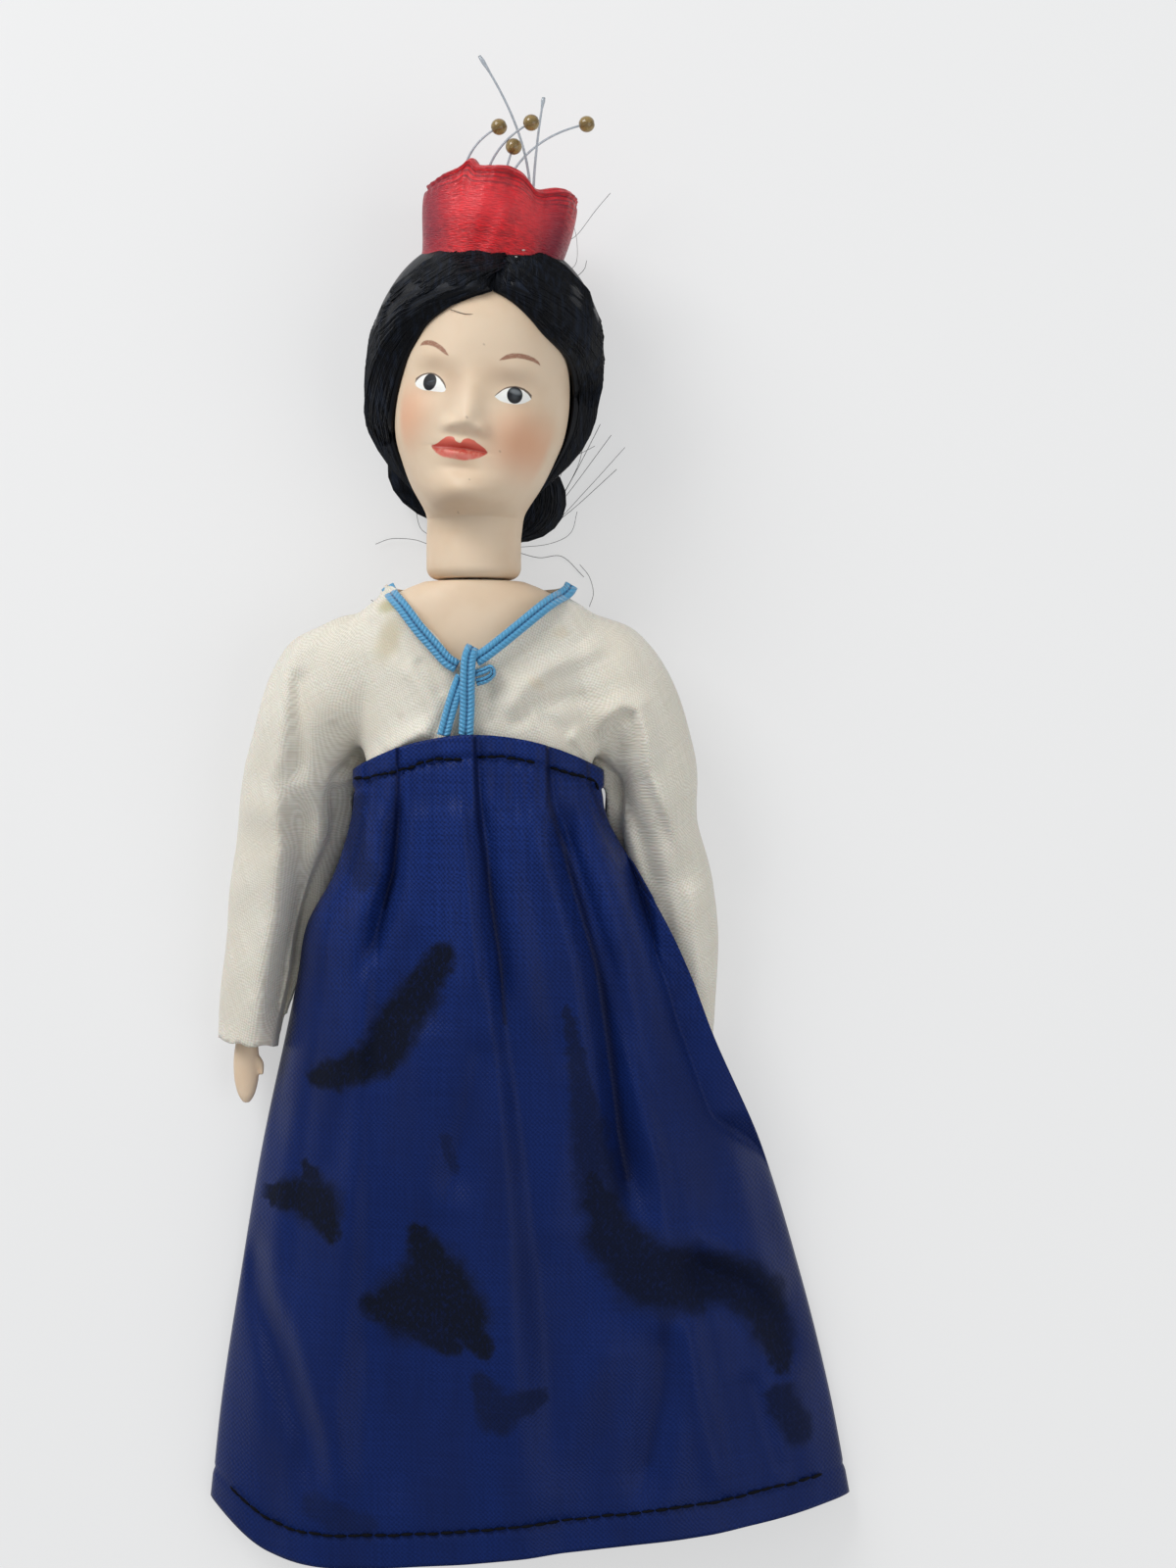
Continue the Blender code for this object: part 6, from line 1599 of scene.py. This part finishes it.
def weave_finish(name, colour, shade, pitch, slub, roughness, depth, sheen):
    """A material of woven cloth, and its tree, shader and tint to go on from."""
    made, tree, shader = new_material(name, Roughness=roughness, Specular_IOR_Level=0.25)
    shader.inputs["Sheen Weight"].default_value = sheen
    shader.inputs["Sheen Roughness"].default_value = 0.4
    cloth = attribute(tree, "cloth")
    out = use_group(tree, "plain_weave", {"Cloth": cloth, "Pitch": pitch, "Slub": slub})
    tint = mix(tree, ramp(tree, out["Tone"], -0.45, 0.45), shade, colour)
    bump(tree, shader, out["Height"], depth * MM, 0.8)
    return made, tree, shader, tint


def blouse_finish(colour, shade):
    """Fine ivory cloth with yellowed places."""
    made, tree, shader, tint = weave_finish("ivory_blouse", colour, shade, 0.27, 0.45, 0.68, 0.05, 0.3)
    shader.inputs["Subsurface Weight"].default_value = 0.10
    shader.inputs["Subsurface Scale"].default_value = 0.0008
    local = attribute(tree, "local")
    cloud = shade_noise(tree, local, 0.09, 2.0)
    tint = mix(tree, ramp(tree, cloud, 0.35, 0.75, 0.0, 0.35), tint, rgb(212, 202, 184))
    tint = dabbed(tree, tint, local, BLOUSE_DABS, 0.6)
    tree.links.new(tint, shader.inputs["Base Color"])
    return made


# Dark flock on the skirt, and in the last stroke painted shade along a fold: strength, then points of x, y and radius
# along each stroke
FLOCK_AND_FOLD_SHADE = (
    (1.0, ((-3.4, -51.8, 1.5), (-7.3, -57.4, 2.9), (-10.3, -62.1, 3.3), (-12.9, -66.6, 3.1), (-17.8, -69.2, 2.4),
        (-22.4, -70.4, 1.7))),
    (1.0, ((-30.4, -87.6, 0.9), (-24.9, -87.6, 2.9), (-22.0, -88.3, 3.5), (-20.0, -92.4, 1.3))),
    (0.9, ((-24.0, -82.8, 0.9), (-22.6, -86.6, 2.6))),
    (1.0, ((-7.6, -91.6, 1.5), (-5.4, -96.9, 4.0), (-1.4, -103.0, 4.0), (1.5, -107.6, 1.5))),
    (1.0, ((-5.4, -97.6, 4.0), (-8.2, -101.6, 5.4), (-13.2, -102.4, 2.6))),
    (0.95, ((-8.2, -103.6, 3.6), (-3.4, -107.0, 2.0))),
    (0.62, ((1.3, -112.6, 1.7), (3.6, -116.6, 3.0), (9.4, -114.4, 1.3))),
    (0.9, ((16.9, -84.0, 1.5), (19.4, -92.2, 3.8), (24.6, -97.6, 5.0), (31.0, -98.6, 4.7), (37.0, -98.9, 3.7),
        (41.0, -102.3, 3.8), (43.6, -107.9, 2.8), (44.2, -112.4, 1.3))),
    (0.70, ((43.8, -116.6, 2.2), (46.6, -121.4, 2.4))),
    (0.45, ((-16.2, -31.4, 1.4), (-17.0, -36.1, 2.0), (-15.4, -41.4, 2.0))),
    (0.45, ((-3.8, -78.2, 0.7), (-2.6, -82.4, 0.9))),
    (0.40, ((-22.4, -131.0, 2.0), (-15.6, -133.8, 1.8))),
    # painted shade along the valley of the big fold on the right, running into the flock below
    (0.65, ((13.4, -60.0, 0.7), (15.8, -74.0, 2.0), (17.8, -86.0, 3.4))),
)


# Painted shade in the creases of the skirt's pleats, in the same form
CREASES = (
    (0.75, ((-10.4, -23.4, 0.22), (-10.4, -30.0, 0.40), (-11.2, -41.2, 0.55), (-12.4, -46.0, 0.30))),
    (0.80, ((0.5, -22.3, 0.22), (1.0, -33.4, 0.40), (2.4, -42.5, 0.50), (3.8, -52.5, 0.45), (4.6, -62.0, 0.30))),
    (0.80, ((10.5, -22.9, 0.22), (10.8, -31.0, 0.40), (12.4, -36.5, 0.55), (15.4, -46.0, 0.60),
        (18.2, -57.0, 0.55), (20.2, -72.0, 0.60), (21.6, -84.0, 0.8))),
    (0.60, ((15.9, -24.6, 0.20), (16.4, -28.4, 0.30), (18.4, -33.4, 0.30))),
    (0.40, ((27.0, -104.0, 0.8), (26.6, -114.0, 1.1), (24.6, -124.0, 0.8))),
)


def skirt_finish(colour, shade, flock):
    """Navy taffeta with painted shade in its creases, along one fold and towards its hem, and dark flock on its top
    side.
    """
    made, tree, shader, tint = weave_finish("navy_taffeta", colour, shade, 0.34, 0.6, 0.50, 0.05, 0.03)
    shader.inputs["Specular IOR Level"].default_value = 0.09
    local = attribute(tree, "local")
    down, high = split(tree, local)[1:]
    # painted shade: darker towards the hem
    tint = mix(tree, ramp(tree, down, -42.0, -72.0, 0.0, 0.62), tint, rgb(11, 28, 76))
    cloud = shade_noise(tree, stretch(tree, local, (0.9, 0.35, 0.0)), 0.13, 3.0)
    tint = mix(tree, ramp(tree, cloud, 0.40, 0.72, 0.0, 0.45), tint, rgb(17, 28, 68))
    wobble = node(tree, "ShaderNodeTexNoise", {"Vector": local, "Scale": 0.45, "Detail": 4.0}).outputs["Color"]
    shift = vector(tree, "SCALE", vector(tree, "SUBTRACT", wobble, (0.5, 0.5, 0.5)), 3.0)
    place = vector(tree, "ADD", local, shift)

    def strokes(table_rows, where, soft):
        mask = 0.0
        for strength, line in table_rows:
            for (ax, ay, ar), (bx, by, br) in zip(line, line[1:]):
                run = {"From": (ax, ay, 0.0), "To": (bx, by, 0.0), "Radius": ar, "End Radius": br}
                one = use_group(tree, "soft_stroke", {"Place": where, "Soft": soft, **run})["Mask"]
                mask = calc(tree, "MAXIMUM", mask, times(tree, one, strength))
        return mask

    # painted shade along the creases of the pleats
    tint = mix(tree, times(tree, strokes(CREASES, local, 0.95), 0.8), tint, rgb(7, 11, 36))
    grain = ramp(tree, shade_noise(tree, stretch(tree, local, (1.0, 0.6, 1.0)), 2.4, 4.0), 0.30, 0.52, 0.72, 1.0)
    # flock, and painted shade along one fold
    mask = times(tree, strokes(FLOCK_AND_FOLD_SHADE, place, 0.42), ramp(tree, high, 4.0, 8.0), grain)
    tree.links.new(mix(tree, times(tree, mask, 0.94), tint, flock), shader.inputs["Base Color"])
    tree.links.new(ramp(tree, mask, 0.0, 1.0, 0.42, 0.82), shader.inputs["Roughness"])
    return made


def braid_finish(colour, groove):
    """Soutache braid: slanting threads on two ridges, each with painted shade on one side, and painted shade in the
    groove between.
    """
    made, tree, shader = new_material("blue_braid", Roughness=0.42, Specular_IOR_Level=0.45)
    shader.inputs["Sheen Weight"].default_value = 0.3
    parts = split(tree, attribute(tree, "braid"))
    side = calc(tree, "ABSOLUTE", parts[0])
    slant = calc(tree, "ADD", times(tree, parts[1], 11.0), times(tree, side, 5.5))
    strand = calc(tree, "SINE", slant)
    # painted shade in the groove between the ridges
    dark = ramp(tree, side, 0.20, 0.02)
    groove_shade_mask = times(tree, dark, ramp(tree, strand, -0.6, 0.5, 0.55, 1.0))
    # painted shade: a darker copy of the colour on one side of each slanting thread
    tint = mix(tree, ramp(tree, strand, -1.0, 1.0, 0.0, 0.32), colour, toned(colour, 0.62))
    tree.links.new(mix(tree, groove_shade_mask, tint, groove), shader.inputs["Base Color"])
    bump(tree, shader, calc(tree, "SUBTRACT", strand, times(tree, dark, 3.0)), 0.00006, 0.9)
    return made


def plain_finish(name, colour, roughness, scale, depth):
    """A finish for the pieces that the clothes hide: a tone and a bump from one noise."""
    made, tree, shader = new_material(name, Roughness=roughness)
    place = node(tree, "ShaderNodeTexCoord").outputs["Object"]
    grain = shade_noise(tree, place, scale, 3.0)
    tree.links.new(mix(tree, grain, toned(colour, 0.8), colour), shader.inputs["Base Color"])
    bump(tree, shader, grain, depth, 0.5)
    return made


def clear_finish(name, colour, roughness, transmission):
    """A see-through finish for nylon, glass and glue."""
    made, tree, shader = new_material(name, Roughness=roughness, IOR=1.5, Transmission_Weight=transmission)
    cloud = shade_noise(tree, attribute(tree, "local"), 0.9, 3.0)
    tree.links.new(mix(tree, cloud, toned(colour, 0.75), colour), shader.inputs["Base Color"])
    return made


def thread_finish(colour):
    """Matt sewing thread."""
    made, tree, shader = new_material("black_thread", Roughness=0.8, Specular_IOR_Level=0.08)
    ply = shade_noise(tree, attribute(tree, "local"), 4.0, 2.0)
    tree.links.new(mix(tree, ply, colour, toned(colour, 1.6)), shader.inputs["Base Color"])
    return made


def colour_setting(name, description, default):
    """A colour that a user can change."""
    return bpy.props.FloatVectorProperty(
        name=name, description=description, default=default, subtype="COLOR", size=4, min=0.0, max=1.0)


class DollSettings(bpy.types.PropertyGroup):
    """Colours and sizes of the doll's looks."""

    skin: colour_setting("Bisque", "Colour of the unglazed porcelain", rgb(222, 200, 174))
    lips: colour_setting("Lips", "Colour of the painted lips", rgb(186, 58, 46))
    brows: colour_setting("Brows", "Colour of the painted brows", rgb(142, 92, 70))
    hair: colour_setting("Hair", "Colour of the wig", rgb(9, 11, 16))
    # the hair sheen colour is painted sheen on the strands
    hair_sheen: colour_setting("Hair sheen", "Colour of the lighter strands", rgb(26, 33, 46))
    satin: colour_setting("Satin", "Colour of the hat", rgb(226, 22, 34))
    blouse: colour_setting("Blouse", "Colour of the ivory cloth", rgb(233, 228, 216))
    braid: colour_setting("Braid", "Colour of the braid tie", rgb(78, 156, 200))
    skirt: colour_setting("Skirt", "Colour of the taffeta", rgb(25, 48, 114))
    flock: colour_setting("Flock", "Colour of the dark strokes on the skirt", rgb(12, 16, 26))
    floor: colour_setting("Floor", "Colour of the floor", (0.80, 0.80, 0.80, 1.0))
    strands: bpy.props.IntProperty(
        name="Strands", description="Number of hairs on the head", default=1500, min=100, max=2500)
    blouse_voxel: bpy.props.FloatProperty(
        name="Blouse fineness", description="Edge of the finest cell of the blouse", subtype="DISTANCE", unit="LENGTH",
        default=0.0005, min=0.0004, max=0.002, precision=5)
    skirt_columns: bpy.props.IntProperty(
        name="Skirt columns", description="Number of points round the skirt", default=300, min=80, max=340)


def settings():
    """The doll's settings in this scene."""
    return bpy.context.scene.doll_looks


def full_or_quick(full):
    """The full count."""
    return full


class DOLL_OT_head(bpy.types.Operator):
    """Makes the bisque head with its painted face"""

    bl_idname = "doll.head"
    bl_label = "Head and face"

    def execute(self, context):
        look = settings()
        painted = bisque_finish("painted_bisque", tuple(look.skin), tuple(look.lips), tuple(look.brows))
        build_head(painted, full_or_quick(230), full_or_quick(230))
        return {"FINISHED"}


class DOLL_OT_hair(bpy.types.Operator):
    """Makes the wig, the bun and the loose hairs"""

    bl_idname = "doll.hair"
    bl_label = "Hair"

    def execute(self, context):
        look = settings()
        rng = random.Random(7)
        finish = hair_finish(tuple(look.hair), tuple(look.hair_sheen))
        build_hair(finish, full_or_quick(look.strands), 14, rng)
        build_bun(finish, full_or_quick(620), rng)
        build_loose_hairs(finish, rng)
        return {"FINISHED"}


class DOLL_OT_hat(bpy.types.Operator):
    """Makes the satin hat, its bristles, beads and glue"""

    bl_idname = "doll.hat"
    bl_label = "Hat and sprig"

    def execute(self, context):
        look = settings()
        # the second colour is the shaded copy of the red for the painted sheen
        satin = satin_finish(tuple(look.satin), toned(look.satin, 0.42, 0.25, 0.5))
        build_hat(satin, full_or_quick(130), full_or_quick(300))
        bristle = clear_finish("clear_nylon", rgb(206, 214, 222), 0.22, 0.55)
        glass = clear_finish("smoky_glass", rgb(176, 150, 96), 0.10, 0.6)
        build_sprig(bristle)
        for name in BEADED:
            build_bead(name, glass)
        build_bits(clear_finish("dry_glue", rgb(226, 220, 214), 0.4, 0.2), random.Random(11))
        return {"FINISHED"}


class DOLL_OT_limbs(bpy.types.Operator):
    """Makes the bisque shoulders and forearms and finishes the hidden pieces"""

    bl_idname = "doll.limbs"
    bl_label = "Limbs and body"

    def execute(self, context):
        look = settings()
        bisque = bisque_finish("plain_bisque", tuple(look.skin))
        build_plate(bisque)
        for side in SLEEVES:
            build_arm(side, bisque)
        finishes = {
            "muslin": plain_finish("plain_muslin", rgb(232, 226, 212), 0.9, 900.0, 0.0001),
            "elastic": plain_finish("white_elastic", rgb(230, 226, 220), 0.8, 1500.0, 0.0001),
            "washer": plain_finish("plain_wood", rgb(190, 156, 118), 0.7, 700.0, 0.00005),
            "bisque": plain_finish("leg_bisque", tuple(look.skin), 0.52, 300.0, 0.00003),
        }
        hidden = {
            "muslin": ("cloth_body", "upper_arm_left", "upper_arm_right", "thigh_left", "thigh_right"),
            "elastic": ("neck_elastic",), "washer": ("neck_washer",), "bisque": ("leg_left", "leg_right"),
        }
        for slot, names in hidden.items():
            for name in names:
                frame["nodes"][name].data.materials[0] = finishes[slot]
        return {"FINISHED"}


class DOLL_OT_blouse(bpy.types.Operator):
    """Makes the blouse and its braid tie"""

    bl_idname = "doll.blouse"
    bl_label = "Blouse and braid"

    def execute(self, context):
        look = settings()
        cloth = blouse_finish(tuple(look.blouse), toned(look.blouse, 0.74, 0.72, 0.68))
        blouse = build_blouse(cloth, look.blouse_voxel / MM * full_or_quick(1.0))
        # the second colour is painted shade for the braid's groove
        build_braid(braid_finish(tuple(look.braid), rgb(18, 78, 128)))
        return {"FINISHED"}


class DOLL_OT_skirt(bpy.types.Operator):
    """Makes the pleated skirt and its stitches"""

    bl_idname = "doll.skirt"
    bl_label = "Skirt"

    def execute(self, context):
        look = settings()
        cloth = skirt_finish(tuple(look.skirt), toned(look.skirt, 0.42), tuple(look.flock))
        skirt, rings, v = build_skirt(cloth, full_or_quick(look.skirt_columns), full_or_quick(150))
        thread = build_stitches(thread_finish(rgb(10, 11, 15)), rings, v, random.Random(5))
        return {"FINISHED"}


# Stage in metres: lamps with their place, size and power in watts
FLOOR_HALF, FLOOR_Z = 3.0, -0.0001
LAMPS = (("window", (-0.42, 0.50, 0.42), 0.42, 4.1), ("fill", (0.50, -0.10, 0.60), 0.60, 1.7))
CAMERA_PLACE, FOCAL_LENGTH = (0.0085, 0.00233, 0.420), 65.6


class DOLL_OT_stage(bpy.types.Operator):
    """Sets the floor, the light and the camera"""

    bl_idname = "doll.stage"
    bl_label = "Floor, light and camera"

    def execute(self, context):
        scene = context.scene
        look = settings()
        made, tree, shader = new_material("pale_floor", Roughness=0.9, Specular_IOR_Level=0.1)
        rays = node(tree, "ShaderNodeLightPath").outputs
        inputs = {0: calc(tree, "ADD", rays["Is Camera Ray"], rays["Is Glossy Ray"]), 1: rays["Is Transmission Ray"]}
        seen = node(tree, "ShaderNodeMath", inputs, operation="ADD", use_clamp=True).outputs[0]
        floor_colour = node(tree, "ShaderNodeRGB").outputs[0]
        floor_colour.default_value = tuple(look.floor)
        shader.inputs["Base Color"].default_value = tuple(look.floor)
        glow = node(tree, "ShaderNodeEmission", {"Color": floor_colour, "Strength": 1.10})
        both = node(tree, "ShaderNodeMixShader", {0: times(tree, seen, 0.55), 1: shader.outputs[0], 2: glow.outputs[0]})
        tree.links.new(both.outputs[0], tree.nodes["Material Output"].inputs["Surface"])
        mesh = bpy.data.meshes.new("floor")
        corners = [(x * FLOOR_HALF, y * FLOOR_HALF, FLOOR_Z) for x, y in ((-1, -1), (1, -1), (1, 1), (-1, 1))]
        mesh.from_pydata(corners, [], [(0, 1, 2, 3)])
        mesh.materials.append(made)
        floor = bpy.data.objects.new("floor", mesh)
        scene.collection.objects.link(floor)
        for name, place, size, power in LAMPS:
            lamp = bpy.data.lights.new(name, "AREA")
            lamp.size = size
            lamp.energy = power
            carrier = bpy.data.objects.new(name, lamp)
            carrier.location = place
            carrier.rotation_euler = (-Vector(place)).to_track_quat("-Z", "Y").to_euler()
            scene.collection.objects.link(carrier)
        world = bpy.data.worlds.new("soft room")
        world.use_nodes = True
        world.node_tree.nodes["Background"].inputs["Color"].default_value = (0.94, 0.97, 1.0, 1.0)
        world.node_tree.nodes["Background"].inputs["Strength"].default_value = 0.46
        scene.world = world
        scene.view_settings.view_transform = "Standard"
        lens = bpy.data.cameras.new("camera")
        lens.lens = FOCAL_LENGTH
        lens.sensor_width = 36.0
        lens.clip_start = 0.01
        camera = bpy.data.objects.new("camera", lens)
        camera.location = CAMERA_PLACE
        scene.collection.objects.link(camera)
        scene.camera = camera
        return {"FINISHED"}


STEPS = (DOLL_OT_head, DOLL_OT_hair, DOLL_OT_hat, DOLL_OT_limbs, DOLL_OT_blouse, DOLL_OT_skirt, DOLL_OT_stage)


class DOLL_PT_panel(bpy.types.Panel):
    """Sidebar panel with the doll's settings and steps"""

    bl_idname = "DOLL_PT_panel"
    bl_label = "Porcelain doll"
    bl_space_type = "VIEW_3D"
    bl_region_type = "UI"
    bl_category = "Doll"

    def draw(self, context):
        for name in DollSettings.__annotations__:
            self.layout.prop(context.scene.doll_looks, name)
        for step in STEPS:
            self.layout.operator(step.bl_idname, text=step.bl_label)


CLASSES = (DollSettings, *STEPS, DOLL_PT_panel)


def register():
    for kind in CLASSES:
        bpy.utils.register_class(kind)
    bpy.types.Scene.doll_looks = bpy.props.PointerProperty(type=DollSettings)


def unregister():
    del bpy.types.Scene.doll_looks
    for kind in reversed(CLASSES):
        bpy.utils.unregister_class(kind)


def main():
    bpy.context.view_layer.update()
    register()
    make_groups()
    bpy.ops.doll.head()
    bpy.ops.doll.hair()
    bpy.ops.doll.hat()
    bpy.ops.doll.limbs()
    bpy.ops.doll.blouse()
    bpy.ops.doll.skirt()
    bpy.ops.doll.stage()


if __name__ == "__main__":
    main()
